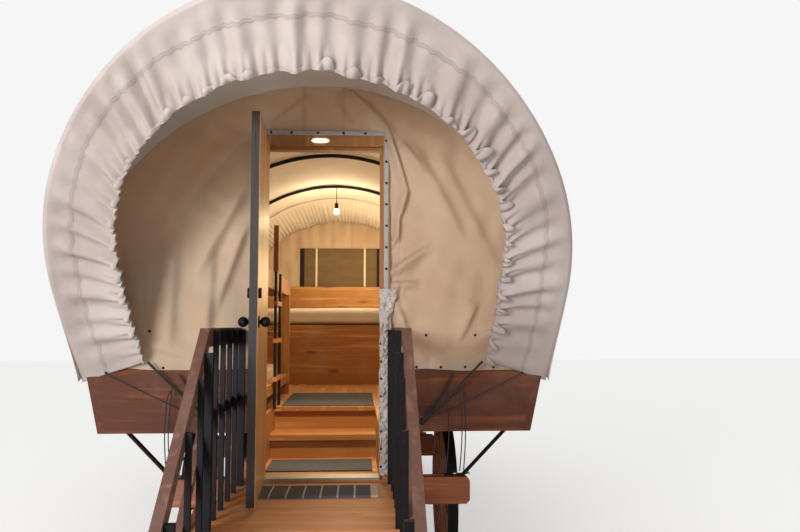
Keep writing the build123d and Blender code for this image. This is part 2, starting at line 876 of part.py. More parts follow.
rear_axle = axle(rear_hub_place, rear_wheel_radius)
save(rear_axle, "rear_axle")

with BuildPart() as bolsters:
    for place in (rear_hub_place, front_hub_place):
        with BuildSketch(Plane.XY.offset(bolster_bottom_z)):
            with Locations((0, along(place))):
                Rectangle(2 * bolster_half, bolster_depth)
        extrude(amount=bolster_height)
save(bolsters, "bolsters")

front_axle_low = front_wheel_radius - axle_beam[1] / 2
front_axle_top = front_wheel_radius + axle_beam[1] / 2
sand_board_top = front_axle_top + sand_board_height
lower_iron_top = sand_board_top + circle_iron_thick
upper_iron_low = lower_iron_top + bearing_gap
front_stack_low = upper_iron_low + circle_iron_thick

with BuildPart() as bolster_stacks:
    for place, low in ((rear_hub_place, rear_axle_top), (front_hub_place, front_stack_low)):
        with BuildSketch(Plane.XY.offset(low)):
            with Locations((0, along(place))):
                Rectangle(2 * stack_half, bolster_depth)
        extrude(amount=bolster_bottom_z - low)
    block_place = cross_beam_depth / 2 + cross_beam_inset
    for place in (block_place, box_length - block_place):
        with BuildSketch(Plane.XY.offset(cross_beam_top_z)):
            with Locations((rail_middle, along(place)), (-rail_middle, along(place))):
                Rectangle(rail_width, cross_beam_depth)
        extrude(amount=rail_bottom_z - cross_beam_top_z)
save(bolster_stacks, "bolster_stacks")

with BuildPart() as kingpin:
    head_radius, head_thick = kingpin_head
    with BuildSketch(Plane.XY.offset(front_axle_low - kingpin_drop)):
        with Locations((0, along(front_hub_place))):
            Circle(kingpin_radius)
    extrude(amount=front_stack_low - front_axle_low + kingpin_drop)
    with BuildSketch(Plane.XY.offset(front_axle_low - kingpin_drop - head_thick)):
        with Locations((0, along(front_hub_place))):
            Circle(head_radius)
    extrude(amount=head_thick)
save(kingpin, "kingpin")

for name, low in (("circle_iron_upper", upper_iron_low), ("circle_iron_lower", sand_board_top)):
    with BuildPart() as circle_iron:
        with BuildSketch(Plane.XY.offset(low)):
            with Locations((0, along(front_hub_place))):
                Circle(circle_iron_radius)
                Circle(circle_iron_radius - circle_iron_width, mode=Mode.SUBTRACT)
        extrude(amount=circle_iron_thick)
    save(circle_iron, name)

with BuildPart() as reach_pole:
    reach_start = rear_hub_place + bolster_depth / 2
    reach_end = front_hub_place - bolster_depth / 2
    with BuildSketch(Plane.XY.offset(front_stack_low + reach_lift)):
        with Locations((0, along((reach_start + reach_end) / 2))):
            Rectangle(reach_size, reach_end - reach_start)
    extrude(amount=reach_size)
save(reach_pole, "reach_pole")

# Steered front axle
with BuildPart() as front_axle:
    add(axle(front_hub_place, front_wheel_radius).part)
    with BuildSketch(Plane.XY.offset(front_axle_low)):
        with Locations((0, along(front_hub_place))):
            Circle(kingpin_radius + running_clearance)
    extrude(amount=axle_beam[1], mode=Mode.SUBTRACT)
    with BuildSketch(Plane.XY.offset(front_axle_top)):
        with Locations((0, along(front_hub_place))):
            Rectangle(2 * stack_half, axle_beam[0])
            Circle(kingpin_radius + running_clearance, mode=Mode.SUBTRACT)
    extrude(amount=sand_board_height)
save(front_axle, "front_axle")

hound_inner = tongue_width / 2 + tongue_side_gap
hound_middle = hound_inner + hound_width / 2
hound_start = front_hub_place + axle_beam[0] / 2
pivot_y = along(pivot_place)

with BuildPart() as hounds:
    with BuildSketch(Plane.XY.offset(pivot_z - hound_height / 2)):
        hound_place = along((hound_start + front_hub_place + hound_reach) / 2)
        with Locations((hound_middle, hound_place), (-hound_middle, hound_place)):
            Rectangle(hound_width, front_hub_place + hound_reach - hound_start)
    extrude(amount=hound_height)
    with BuildSketch(Plane(origin=(0, pivot_y, pivot_z), x_dir=(0, 1, 0), z_dir=(1, 0, 0))):
        Circle(tongue_pin_radius)
    extrude(amount=hound_inner + hound_width + tongue_pin_proud, both=True)
save(hounds, "hounds")

# Tongue: tapered pole from the pin down to the ground, with an iron ferrule
along_tongue = (0, cos(tongue_slope), -sin(tongue_slope))
tongue_side = Plane(origin=(0, pivot_y, pivot_z), x_dir=along_tongue, z_dir=(1, 0, 0))
ferrule_start = tongue_length - ferrule_length

with BuildPart() as tongue:
    with BuildSketch(tongue_side):
        with BuildLine():
            root_half = tongue_root_height / 2
            Polyline((0, root_half), (ferrule_start, tip_half), (ferrule_start, -tip_half))
            Line((ferrule_start, -tip_half), (0, -root_half))
            ThreePointArc((0, -root_half), (-root_half, 0), (0, root_half))
        make_face()
    extrude(amount=tongue_width / 2, both=True)
    with BuildSketch(tongue_side):
        Circle(tongue_pin_radius + running_clearance)
    extrude(amount=tongue_width, both=True, mode=Mode.SUBTRACT)
save(tongue, "tongue")

with BuildPart() as tongue_ferrule:
    with BuildSketch(tongue_side):
        with Locations((ferrule_start + ferrule_length / 2, 0)):
            Rectangle(ferrule_length, tongue_tip_height)
    extrude(amount=tongue_width / 2, both=True)
    ferrule_top = Plane(
        origin=tongue_side.from_local_coords(Vector(tongue_length - hitch_hole_back, 0, 0)),
        x_dir=along_tongue,
        z_dir=(0, sin(tongue_slope), cos(tongue_slope)),
    )
    with BuildSketch(ferrule_top):
        Circle(hitch_hole_radius)
    extrude(amount=tongue_tip_height, both=True, mode=Mode.SUBTRACT)
save(tongue_ferrule, "tongue_ferrule")


# Wheels: nave, spokes and felloe in timber, with an iron tyre shrunk on
def wheel(side, place, radius):
    """Timber wheel and its tyre; side is 1 on the right and -1 on the left."""
    hub = Plane(origin=(side * nave_middle, along(place), radius), x_dir=(0, 1, 0), z_dir=(1, 0, 0))
    felloe_outer = radius - tyre_thick
    felloe_inner = felloe_outer - felloe_depth
    felloe_half = tyre_width / 2 - felloe_inset
    with BuildPart() as timber_wheel:
        with BuildSketch(hub):
            Circle(felloe_outer)
            Circle(felloe_inner, mode=Mode.SUBTRACT)
        extrude(amount=felloe_half, both=True)
        with BuildSketch(hub):
            Circle(nave_radius)
        extrude(amount=nave_length / 2, both=True)
        spoke_middle = (felloe_inner + nave_radius) / 2
        spoke_length = felloe_inner - nave_radius + 2 * spoke_tenon
        with BuildSketch(hub):
            with PolarLocations(spoke_middle, spoke_count):
                Rectangle(spoke_length, spoke_width)
        extrude(amount=spoke_thick / 2, both=True)
        with BuildSketch(hub):
            Circle(spindle_radius + running_clearance)
        extrude(amount=nave_length, both=True, mode=Mode.SUBTRACT)
    with BuildPart() as tyre:
        with BuildSketch(hub):
            Circle(radius)
            Circle(felloe_outer, mode=Mode.SUBTRACT)
        extrude(amount=tyre_width / 2, both=True)
    return timber_wheel, tyre


wheel_table = (
    # name, side, place, radius
    ("rear_right", 1, rear_hub_place, rear_wheel_radius),
    ("rear_left", -1, rear_hub_place, rear_wheel_radius),
    ("front_right", 1, front_hub_place, front_wheel_radius),
    ("front_left", -1, front_hub_place, front_wheel_radius),
)
for name, side, place, radius in wheel_table:
    timber_wheel, tyre = wheel(side, place, radius)
    save(timber_wheel, f"wheel_{name}")
    save(tyre, f"tyre_{name}")

# Steps: deck on legs, stringers, treads and rails
deck_back = landing_start
plank_count = ceil((deck_depth + deck_back) / (plank_width + plank_gap))

with BuildPart() as step_boards:
    for number in range(plank_count):
        plank_start = -deck_depth + number * (plank_width + plank_gap)
        plank_end = min(plank_start + plank_width, deck_back)
        with BuildSketch(Plane.XY.offset(deck_z - plank_thick)):
            with Locations((0, along((plank_start + plank_end) / 2))):
                Rectangle(2 * deck_half, plank_end - plank_start)
        extrude(amount=plank_thick)
    for number in range(1, tread_count + 1):
        front = -deck_depth - number * tread_run
        with BuildSketch(Plane.XY.offset(deck_z - number * riser - plank_thick)):
            with Locations((0, along(front + tread_depth / 2 - edge_clearance))):
                Rectangle(2 * (deck_half - rim_thick), tread_depth)
        extrude(amount=plank_thick)
save(step_boards, "step_boards")

rim_top = deck_z - plank_thick
deck_length = deck_depth + deck_back
deck_middle = along(deck_back - deck_length / 2)

with BuildPart() as step_frame:
    with BuildSketch(Plane.XY.offset(rim_top - rim_height)):
        with Locations((0, deck_middle)):
            Rectangle(2 * deck_half, deck_length)
            Rectangle(2 * (deck_half - rim_thick), deck_length - 2 * rim_thick, mode=Mode.SUBTRACT)
            Rectangle(rim_thick, deck_length)
    extrude(amount=rim_height)
    leg_x = deck_half - rim_thick - leg_size / 2
    leg_y = deck_length / 2 - rim_thick - leg_size / 2
    with BuildSketch(Plane.XY):
        with Locations((0, deck_middle)):
            with GridLocations(2 * leg_x, 2 * leg_y, 2, 2):
                Rectangle(leg_size, leg_size)
    extrude(amount=rim_top)
    # Each stringer's top edge runs a little above the line through the treads' front edges
    nose_z = deck_z + stringer_lift
    edge_start = -deck_depth - (nose_z - rim_top) / stair_slope
    edge_low_z = nose_z - stair_slope * (stair_foot - deck_depth)
    under_start = -deck_depth - (rim_top - stringer_depth) / stair_slope
    for side in (1, -1):
        with BuildSketch(Plane.YZ.offset(side * (deck_half - rim_thick / 2) - rim_thick / 2)):
            with BuildLine():
                Polyline(
                    (along(-deck_depth), rim_top),
                    (along(edge_start), rim_top),
                    (along(-stair_foot), edge_low_z),
                    (along(-stair_foot), 0),
                    (along(under_start), 0),
                    (along(-deck_depth), rim_top - stringer_depth),
                    close=True,
                )
            make_face()
        extrude(amount=rim_thick)
save(step_frame, "step_frame")

# Rails: one level run over the deck and one sloping run over the steps, on each side
post_x = rail_x - rail_section[0] / 2
bend_place = -deck_depth + bend_back


def rail_line(place, top):
    """Height of a rail's top edge at this distance from the door end."""
    return top - stair_slope * max(0.0, bend_place - place)


def tread_under(place):
    """Height of the deck or of the tread below this place."""
    steps_down = ceil((-deck_depth - place) / tread_run)
    return deck_z - riser * max(0, steps_down)


def both_sides(x, y):
    """The same place on the right and on the left."""
    return Locations((x, y), (-x, y))


newel_places = (
    -frame_proud - 2 * newel_size,
    -deck_depth + newel_size / 2,
    foot_newel_place,
)
with BuildPart() as rail_posts:
    for place in newel_places:
        with BuildSketch(Plane.XY.offset(tread_under(place))):
            with both_sides(post_x - newel_size / 2, along(place)):
                Rectangle(newel_size, newel_size)
        extrude(amount=rail_line(place - newel_size / 2, rail_top_z) - post_drop - tread_under(place))
    level_pitch = (newel_places[0] - newel_places[1]) / (level_balusters + 1)
    level = [newel_places[0] - level_pitch * (number + 1) for number in range(level_balusters)]
    sloping = [-deck_depth - tread_run * (number + 0.5) for number in range(tread_count - 1)]
    for place in level + sloping:
        with BuildSketch(Plane.XY.offset(tread_under(place))):
            with both_sides(post_x - baluster_size / 2, along(place)):
                Rectangle(baluster_size, baluster_size)
        extrude(amount=rail_line(place - baluster_size / 2, rail_top_z) - post_drop - tread_under(place))
save(rail_posts, "rail_posts")

rail_end = -end_canvas_gap - cover_thick
for name, section, top in (
    ("hand_rails", rail_section, rail_top_z),
    ("mid_rails", mid_rail_section, mid_rail_z),
):
    with BuildPart() as rails:
        for side in (1, -1):
            middle_x = side * (post_x + section[0] / 2)
            with BuildSketch(Plane.YZ.offset(middle_x - section[0] / 2)):
                with BuildLine():
                    Polyline(
                        (along(rail_end), top),
                        (along(bend_place), top),
                        (along(tail_place), rail_line(tail_place, top)),
                        (along(tail_place), rail_line(tail_place, top) - section[1]),
                        (along(bend_place), top - section[1]),
                        (along(rail_end), top - section[1]),
                        close=True,
                    )
                make_face()
            extrude(amount=section[0])
    save(rails, name)

# Bed at the far end
bed_end = box_length - board
bed_place = box_length - bed_depth
with BuildPart() as bed_platform:
    with BuildSketch(section_plane(bed_place)):
        with Locations((0, (floor_top_z + bed_top_z - bed_board) / 2)):
            Rectangle(2 * bed_half, bed_top_z - bed_board - floor_top_z)
    extrude(amount=-bed_board)
    with BuildSketch(Plane.XY.offset(bed_top_z - bed_board)):
        with Locations((0, along((bed_place + bed_end) / 2))):
            Rectangle(2 * bed_half, bed_end - bed_place)
    extrude(amount=bed_board)
save(bed_platform, "bed_platform")

with BuildPart() as bed_mattress:
    with BuildSketch(Plane.XY.offset(bed_top_z)):
        with Locations((0, along((bed_place + bed_end) / 2))):
            mattress_length = bed_end - bed_place - 2 * mattress_end_gap
            RectangleRounded(2 * (bed_half - mattress_inset), mattress_length, mattress_corner)
    extrude(amount=mattress_height)
save(bed_mattress, "bed_mattress")

with BuildPart() as headboard:
    with BuildSketch(section_plane(bed_end - bed_board)):
        with Locations((0, sum(headboard_z) / 2)):
            Rectangle(2 * headboard_half, headboard_z[1] - headboard_z[0])
        leg_x = headboard_leg_share * headboard_half
        leg_z = (bed_top_z + headboard_z[0]) / 2
        with Locations((-leg_x, leg_z), (leg_x, leg_z)):
            Rectangle(headboard_leg, headboard_z[0] - bed_top_z)
    extrude(amount=-bed_board)
save(headboard, "headboard")

# Bunks along the left side, with a taller post to hold on to beside the ladder
bunk_outer_x = bunk_inner_x + bunk_width
bunk_start, bunk_end = bunk_places
bunk_middle = (-(bunk_inner_x + bunk_outer_x) / 2, along((bunk_start + bunk_end) / 2))
bunk_length = bunk_end - bunk_start
bunk_post_top = floor_top_z + bunk_upper_rise[1]
mattress_wide = bunk_width - 2 * bunk_post - 2 * bunk_mattress_gap
mattress_long = bunk_length - 2 * mattress_end_gap

with BuildPart() as bunk_posts:
    with BuildSketch(Plane.XY.offset(floor_top_z)):
        with Locations(bunk_middle):
            with GridLocations(bunk_width - bunk_post, bunk_length - bunk_post, 2, 2):
                Rectangle(bunk_post, bunk_post)
    extrude(amount=bunk_post_top - floor_top_z)
    with BuildSketch(Plane.XY.offset(bunk_post_top)):
        with Locations((-bunk_inner_x - tall_post_size / 2, along(tall_post_place))):
            Rectangle(tall_post_size, tall_post_size)
    extrude(amount=tall_post_rise)
save(bunk_posts, "bunk_posts")

with BuildPart() as bunk_boards:
    for low_rise, high_rise in (bunk_lower_rise, bunk_upper_rise):
        with BuildSketch(Plane.XY.offset(floor_top_z + low_rise)):
            with Locations(bunk_middle):
                Rectangle(bunk_width - 2 * bunk_post, bunk_length)
        extrude(amount=bunk_board)
        for side in (1, -1):
            with BuildSketch(Plane.XY.offset(floor_top_z + low_rise)):
                edge_x = bunk_middle[0] + side * (bunk_width / 2 - bunk_post / 2)
                with Locations((edge_x, bunk_middle[1])):
                    Rectangle(bunk_post, bunk_length - 2 * bunk_post)
            extrude(amount=high_rise - low_rise)
save(bunk_boards, "bunk_boards")

with BuildPart() as bunk_mattresses:
    for low_rise in (bunk_lower_rise[0], bunk_upper_rise[0]):
        with BuildSketch(Plane.XY.offset(floor_top_z + low_rise + bunk_board)):
            with Locations(bunk_middle):
                RectangleRounded(mattress_wide, mattress_long, bunk_mattress_corner)
        extrude(amount=bunk_mattress)
save(bunk_mattresses, "bunk_mattresses")

with BuildPart() as bunk_ladder:
    rung_depth, rung_length, rung_height = rung_size
    with BuildSketch(Plane.XY.offset(floor_top_z)):
        with Locations(
            (-ladder_x, along(ladder_place - ladder_rod_half)),
            (-ladder_x, along(ladder_place + ladder_rod_half)),
        ):
            Circle(ladder_rod_radius)
    extrude(amount=bunk_post_top - floor_top_z)
    for rise in rung_rises:
        with BuildSketch(Plane.XY.offset(floor_top_z + rise - rung_height / 2)):
            with Locations((-ladder_x, along(ladder_place))):
                Rectangle(rung_depth, rung_length)
        extrude(amount=rung_height)
save(bunk_ladder, "bunk_ladder")

# Small pieces: mats and the hanging lamp
with BuildPart() as mats:
    for middle_x, half, start, end, z, thick in mat_table:
        with BuildSketch(Plane.XY.offset(z)):
            with Locations((middle_x, along((start + end) / 2))):
                Rectangle(2 * half, end - start)
        extrude(amount=thick)
save(mats, "mats")

with BuildPart() as hanging_lamp:
    socket_radius, socket_length = socket_size
    lamp_place = hoop_places[2]
    hoop_under_z = crown_top_z() - hoop_inset - hoop_tube / 2
    with Locations((0, along(lamp_place), bulb_z)):
        Sphere(bulb_radius)
    with BuildSketch(Plane.XY.offset(bulb_z)):
        with Locations((0, along(lamp_place))):
            Circle(lamp_cord_radius)
    extrude(amount=hoop_under_z - bulb_z)
    with BuildSketch(Plane.XY.offset(bulb_z + bulb_radius - socket_sink)):
        with Locations((0, along(lamp_place))):
            Circle(socket_radius)
    extrude(amount=socket_length)
save(hanging_lamp, "hanging_lamp")
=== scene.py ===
# %% [markdown]
# # A covered wagon for sleeping in
# The wagon is a flared timber box on wooden wheels under a canvas bonnet. Its hard parts come from
# CAD and are only given finishes here. Everything soft, and the small hardware, is made in this
# file as numpy surfaces: a shape is a function of two parameters, worked out as whole arrays.

import math

import bmesh
import bpy
import numpy as np
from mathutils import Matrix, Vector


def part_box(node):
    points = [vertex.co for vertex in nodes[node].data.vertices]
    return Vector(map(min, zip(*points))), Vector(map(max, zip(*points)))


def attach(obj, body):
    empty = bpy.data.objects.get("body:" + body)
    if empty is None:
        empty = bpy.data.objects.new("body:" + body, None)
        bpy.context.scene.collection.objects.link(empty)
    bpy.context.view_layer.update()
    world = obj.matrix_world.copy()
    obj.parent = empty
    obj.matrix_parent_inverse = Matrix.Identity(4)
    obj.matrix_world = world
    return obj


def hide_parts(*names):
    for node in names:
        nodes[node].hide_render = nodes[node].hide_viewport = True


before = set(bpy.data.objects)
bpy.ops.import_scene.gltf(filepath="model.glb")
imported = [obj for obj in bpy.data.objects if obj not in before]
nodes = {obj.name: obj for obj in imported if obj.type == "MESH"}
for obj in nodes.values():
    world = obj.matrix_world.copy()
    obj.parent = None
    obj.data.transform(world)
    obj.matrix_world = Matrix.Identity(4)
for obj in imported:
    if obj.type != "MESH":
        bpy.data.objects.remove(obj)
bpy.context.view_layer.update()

# %% [markdown]
# ## Camera
# The photograph was taken standing on the gravel 4.6 m before the door end, 1.75 m up and a little
# right of the door, looking 3 degrees to the right and 4.5 degrees up. The lens follows from how
# wide the doorway looks at that distance. A few numbers are enough, and nothing is fitted later.

# %% Camera
door_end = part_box("box_sides")[0][1]
eye = (0.255, door_end - 4.6, 1.75)
turn_right, look_up = math.radians(3.1), math.radians(4.55)
camera = bpy.data.objects.new("camera", bpy.data.cameras.new("camera"))
bpy.context.scene.collection.objects.link(camera)
camera.data.lens = 33.4
camera.location = eye
camera.rotation_euler = (math.radians(90) + look_up, 0, -turn_right)
bpy.context.scene.camera = camera
print("door end at", round(door_end, 4))

# %% [markdown]
# ## Shader arithmetic
# A finish is worked out by adding, multiplying and comparing patterns. Wiring Math nodes by hand
# hides the formula, so one small class wraps a socket and lets Python's operators add the nodes.

# %% Shader helpers
class Value:
    """An output socket of a finish, with arithmetic that adds Math nodes."""

    def __init__(self, finish, socket):
        self.finish, self.socket = finish, socket

    def math(self, operation, *others):
        sockets = dict(enumerate((self, *others)))
        return self.finish.node("ShaderNodeMath", {"operation": operation}, sockets)

    def __add__(self, other):
        return self.math("ADD", other)

    def __mul__(self, other):
        return self.math("MULTIPLY", other)

    def __sub__(self, other):
        return self.math("SUBTRACT", other)

    def __truediv__(self, other):
        return self.math("DIVIDE", other)

    __radd__ = __add__
    __rmul__ = __mul__

    def ramp(self, low, high, start=0.0, end=1.0):
        """Smooth step from start to end as this value goes from low to high."""
        sockets = {"Value": self, "From Min": low, "From Max": high, "To Min": start, "To Max": end}
        return self.finish.node("ShaderNodeMapRange", {"interpolation_type": "SMOOTHSTEP"}, sockets)


class Finish:
    """A material with one Principled shader, built from patterns."""

    def __init__(self, name, **constants):
        self.material = bpy.data.materials.new(name)
        self.material.use_nodes = True
        self.tree = self.material.node_tree
        self.shader = self.tree.nodes["Principled BSDF"]
        for socket, value in constants.items():
            self.shader.inputs[socket.replace("_", " ")].default_value = value

    def node(self, kind, settings, sockets, output=0):
        """Adds a node: its settings are set first, then its sockets get values or links."""
        made = self.tree.nodes.new(kind)
        for setting, value in settings.items():
            setattr(made, setting, value)
        for socket, value in sockets.items():
            if isinstance(value, Value):
                self.tree.links.new(value.socket, made.inputs[socket])
            else:
                made.inputs[socket].default_value = value
        return Value(self, made.outputs[output])

    def place(self, scale=(1, 1, 1), source="Object"):
        """Object or UV coordinates, stretched."""
        raw = self.node("ShaderNodeTexCoord", {}, {}, source)
        return self.node("ShaderNodeMapping", {}, {"Vector": raw, "Scale": scale})

    def noise(self, vector, scale, detail=4.0, roughness=0.55, distortion=0.0):
        sockets = {"Vector": vector, "Scale": scale, "Detail": detail, "Roughness": roughness}
        return self.node("ShaderNodeTexNoise", {}, {**sockets, "Distortion": distortion})

    def axis(self, vector, name):
        return self.node("ShaderNodeSeparateXYZ", {}, {0: vector}, name)

    def mix(self, factor, first, second):
        """Colour from first to second as factor goes from 0 to 1."""
        sockets = {0: factor, 6: first, 7: second}
        return self.node("ShaderNodeMix", {"data_type": "RGBA"}, sockets, 2)

    def bump(self, height, distance):
        """Bump of a height that runs from 0 to 1, distance metres deep."""
        sockets = {"Height": height, "Distance": distance, "Strength": 1.0}
        return self.node("ShaderNodeBump", {}, sockets)

    def feed(self, **sockets):
        """Links values to the shader's sockets and gives the material."""
        for socket, value in sockets.items():
            self.tree.links.new(value.socket, self.shader.inputs[socket.replace("_", " ")])
        return self.material


def colour(red, green, blue):
    """A colour as the eye reads it from 0 to 255, made linear."""
    return tuple((part / 255) ** 2.2 for part in (red, green, blue)) + (1.0,)


def dimmed(tone, part):
    """The same colour with its light multiplied by part."""
    return tuple(channel * part for channel in tone[:3]) + (1.0,)


def dress(material, *names):
    """Gives CAD nodes one finish."""
    for name in names:
        nodes[name].data.materials.clear()
        nodes[name].data.materials.append(material)


# %% [markdown]
# ## Timber
# Sawn boards show three things at once: long streaks along the grain, a few knots, and a tone of
# its own for every board. Noise stretched a long way along one axis gives the streaks, and the
# board's number, found by dividing the place by the board's width, shifts both tone and pattern.

# %% Timber finish
axis_order = {"x": 0, "y": 1, "z": 2}
streaks_across, streaks_along = 16.0, 0.9  # pattern per metre, across and along the grain
knots_across, knots_along = 7.0, 2.2


def timber(name, light, dark, grain="y", stack="z", board=0.14, first=0.0, rough=0.55, worn=0.25):
    """Boards whose grain runs along one axis, laid side by side along another."""
    finish = Finish(name)
    place = finish.place()
    number = ((finish.axis(place, stack.upper()) - first) / board).math("FLOOR")
    chance = finish.node("ShaderNodeTexWhiteNoise", {"noise_dimensions": "1D"}, {"W": number + 0.5})
    scale = [streaks_across] * 3
    scale[axis_order[grain]] = streaks_along
    board_shift = {"X": number * 3.7, "Y": number * 5.3, "Z": number * 2.1}
    shift = finish.node("ShaderNodeCombineXYZ", {}, board_shift)
    moved = finish.node("ShaderNodeVectorMath", {"operation": "ADD"}, {0: place, 1: shift})
    long_place = finish.node("ShaderNodeMapping", {}, {"Vector": moved, "Scale": tuple(scale)})
    streak = finish.noise(long_place, 1.0, 6.0, 0.6, 0.6)
    fine = finish.noise(long_place, 7.0, 3.0, 0.6)
    rings = (streak * 9.0 + fine * 0.8).math("SINE") * 0.5 + 0.5
    knot_scale = [knots_across] * 3
    knot_scale[axis_order[grain]] = knots_along
    knot_place = finish.node("ShaderNodeMapping", {}, {"Vector": moved, "Scale": tuple(knot_scale)})
    knots = finish.node("ShaderNodeTexVoronoi", {}, {"Vector": knot_place, "Scale": 0.8})
    knot = knots.ramp(0.07, 0.16, 1.0, 0.0)
    grain_tone = (rings * 0.55 + streak * 0.45 + fine * 0.2).ramp(0.25, 0.85)
    wood_colour = finish.mix(grain_tone, dark, light)
    toned = finish.mix((chance - 0.5) * 0.55 + 0.25, wood_colour, dark)
    knotted = finish.mix(knot * 0.8, toned, dimmed(dark, 0.45))
    wear = finish.noise(place, 2.5, 5.0, 0.6).ramp(0.5, 0.75, 0.0, worn)
    worn_light = tuple(0.5 * part + 0.5 * sum(light[:3]) / 3 for part in light[:3]) + (1.0,)
    final = finish.mix(wear, knotted, worn_light)
    height = rings * 0.4 + fine * 0.6 - knot * 0.5
    bump = finish.bump(height, 0.0012)
    roughness = fine * 0.2 + (rough - 0.08)
    return finish.feed(Base_Color=final, Roughness=roughness, Normal=bump)


stain_light, stain_dark = colour(196, 122, 68), colour(128, 66, 34)
red_light, red_dark = colour(150, 82, 32), colour(82, 40, 14)
pine_light, pine_dark = colour(214, 166, 98), colour(158, 104, 54)
dress(timber("side boards", red_light, red_dark, "y", "z", 0.14, 1.1, 0.7), "box_sides", "top_rails")
dress(timber("end boards", red_light, red_dark, "x", "z", 0.21, 1.1, 0.7), "box_end_rear", "box_end_front")
dress(timber("floor boards", pine_light, pine_dark, "y", "x", 0.14), "floor")
dress(
    timber("long timbers", stain_light, stain_dark, "y", "x", 0.3, 0.02),
    "chassis_rails", "reach_pole", "tongue", "hounds",
)
dress(
    timber("cross timbers", stain_light, stain_dark, "x", "y", 0.5),
    "cross_beams", "bolsters", "bolster_stacks", "floor_joists", "rear_axle", "front_axle",
)
dress(
    timber("wheel timber", stain_light, stain_dark, "y", "x", 0.5),
    "wheel_front_left", "wheel_front_right", "wheel_rear_left", "wheel_rear_right",
)
deck_light, deck_dark = colour(222, 158, 96), colour(170, 104, 56)
dress(timber("deck boards", deck_light, deck_dark, "x", "y", 0.426, door_end - 1.095), "step_boards")
dress(timber("step timbers", stain_light, stain_dark, "y", "x", 0.3), "step_frame")
dress(timber("rail timber", colour(150, 108, 88), colour(98, 66, 54), "y", "x", 0.3), "hand_rails", "mid_rails")
dress(timber("well boards", pine_light, pine_dark, "x", "z", 0.2), "entry_well", "bed_platform", "headboard")
dress(timber("frame timber", pine_light, pine_dark, "z", "x", 0.3), "door_frame", "bunk_posts")
dress(timber("bunk timber", pine_light, pine_dark, "y", "z", 0.13), "bunk_boards")

# %% [markdown]
# ## Iron and steel
# The rails' posts, the braces, tyres and hinges are black iron, a little rough from its coating.

# %% Iron finish
def iron(name, base, rough, metallic=1.0, mottle=0.3):
    """Coated metal: its roughness and tone wander with a soft noise."""
    finish = Finish(name, Metallic=metallic)
    place = finish.place()
    cloud = finish.noise(place, 14.0, 5.0)
    dust = finish.noise(place, 90.0, 3.0)
    pale = tuple(min(1.0, part * 2.2 + 0.02) for part in base[:3]) + (1.0,)
    return finish.feed(
        Base_Color=finish.mix(cloud * mottle, base, pale),
        Roughness=cloud * 0.25 + rough,
        Normal=finish.bump(dust, 0.0004),
    )


black_iron = iron("black iron", colour(34, 33, 35), 0.42, 0.9)
dress(
    black_iron, "brace_irons", "circle_iron_lower", "circle_iron_upper", "hinge_leaves", "hinge_pins",
    "kingpin", "door_knobs", "rail_posts", "tongue_ferrule", "hoops", "end_hoops", "hanging_lamp",
    "tyre_front_left", "tyre_front_right", "tyre_rear_left", "tyre_rear_right",
)
dress(iron("sill steel", colour(160, 160, 158), 0.35, 1.0, 0.2), "door_sill")

# %% [markdown]
# ## The bonnet's section
# Cut across anywhere, the bonnet shows the same curve: nearly straight sides, round shoulders and a
# flatter crown. Three arcs a side that run smoothly into each other give it, as in the CAD. Every
# canvas piece starts from this one line, so their edges meet.

# %% Section of the bonnet
half_width, widest_z, hem_z = 1.45, 1.95, 1.47
crown_radius, shoulder_radius, lower_radius = 1.50, 1.15, 4.50
box_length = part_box("box_sides")[1][1] - door_end
lean = math.radians(38)
hood_foot_z, hood_gap = 1.48, 0.03


def even(line, count):
    """The same line with count points evenly spaced along its length."""
    step = np.sqrt((np.diff(line, axis=0) ** 2).sum(1))
    run = np.concatenate([[0.0], np.cumsum(step)])
    where = np.linspace(0, run[-1], count)
    return np.stack([np.interp(where, run, line[:, k]) for k in range(line.shape[1])], -1)


def bonnet_line(count, inset=0.0, base=hem_z):
    """Points (x, z) from the right foot over the crown to the left foot: on each side a lower,
    a shoulder and a crown arc, all with their radii shortened by inset."""
    drop = math.sqrt((crown_radius - shoulder_radius) ** 2 - (half_width - shoulder_radius) ** 2)
    join = math.atan2(drop, half_width - shoulder_radius)
    foot = -math.asin((widest_z - base) / (lower_radius - inset))
    right = []
    for centre_x, centre_z, radius, start, end in (
        (half_width - lower_radius, widest_z, lower_radius, foot, 0.0),
        (half_width - shoulder_radius, widest_z, shoulder_radius, 0.0, join),
        (0.0, widest_z - drop, crown_radius, join, math.pi / 2),
    ):
        angle = np.linspace(start, end, 300)
        across = centre_x + (radius - inset) * np.cos(angle)
        right.append(np.stack([across, centre_z + (radius - inset) * np.sin(angle)], -1))
    right = np.concatenate(right)
    return even(np.concatenate([right, right[::-1] * (-1, 1)]), count)


def waves(a, b, seed, size, count=8):
    """Soft unevenness from -1 to 1: sines in random directions, about size metres long."""
    chance = np.random.default_rng(seed)
    total = 0.0
    for _ in range(count):
        way, length = chance.uniform(0, 2 * math.pi), size * chance.uniform(0.6, 1.6)
        start = chance.uniform(0, 2 * math.pi)
        total = total + np.sin(2 * math.pi * (a * math.cos(way) + b * math.sin(way)) / length + start)
    return total / math.sqrt(count) * 0.7


def smooth(low, high, value):
    """Goes smoothly from 0 at low to 1 at high."""
    part = np.clip((value - low) / (high - low), 0, 1)
    return part * part * (3 - 2 * part)


def unit(ways):
    """The same directions, each of them 1 long."""
    return ways / np.linalg.norm(ways, axis=-1, keepdims=True)


def line_length(line):
    """Length of a line of points, step by step."""
    return np.sqrt((np.diff(line, axis=0) ** 2).sum(1)).sum()


def signed_power(value, power):
    """A power that keeps the sign. On a cosine and a sine, a small one squares off the circle."""
    return np.sign(value) * np.abs(value) ** power


def hood_place(x, h, shift=0.0):
    """Points of the rear hood's leaning plane: h metres up it, and shift metres out of it."""
    y = door_end - hood_gap - h * math.sin(lean) - shift * math.cos(lean)
    return np.stack([x, y, hood_foot_z + h * math.cos(lean) - shift * math.sin(lean)], -1)


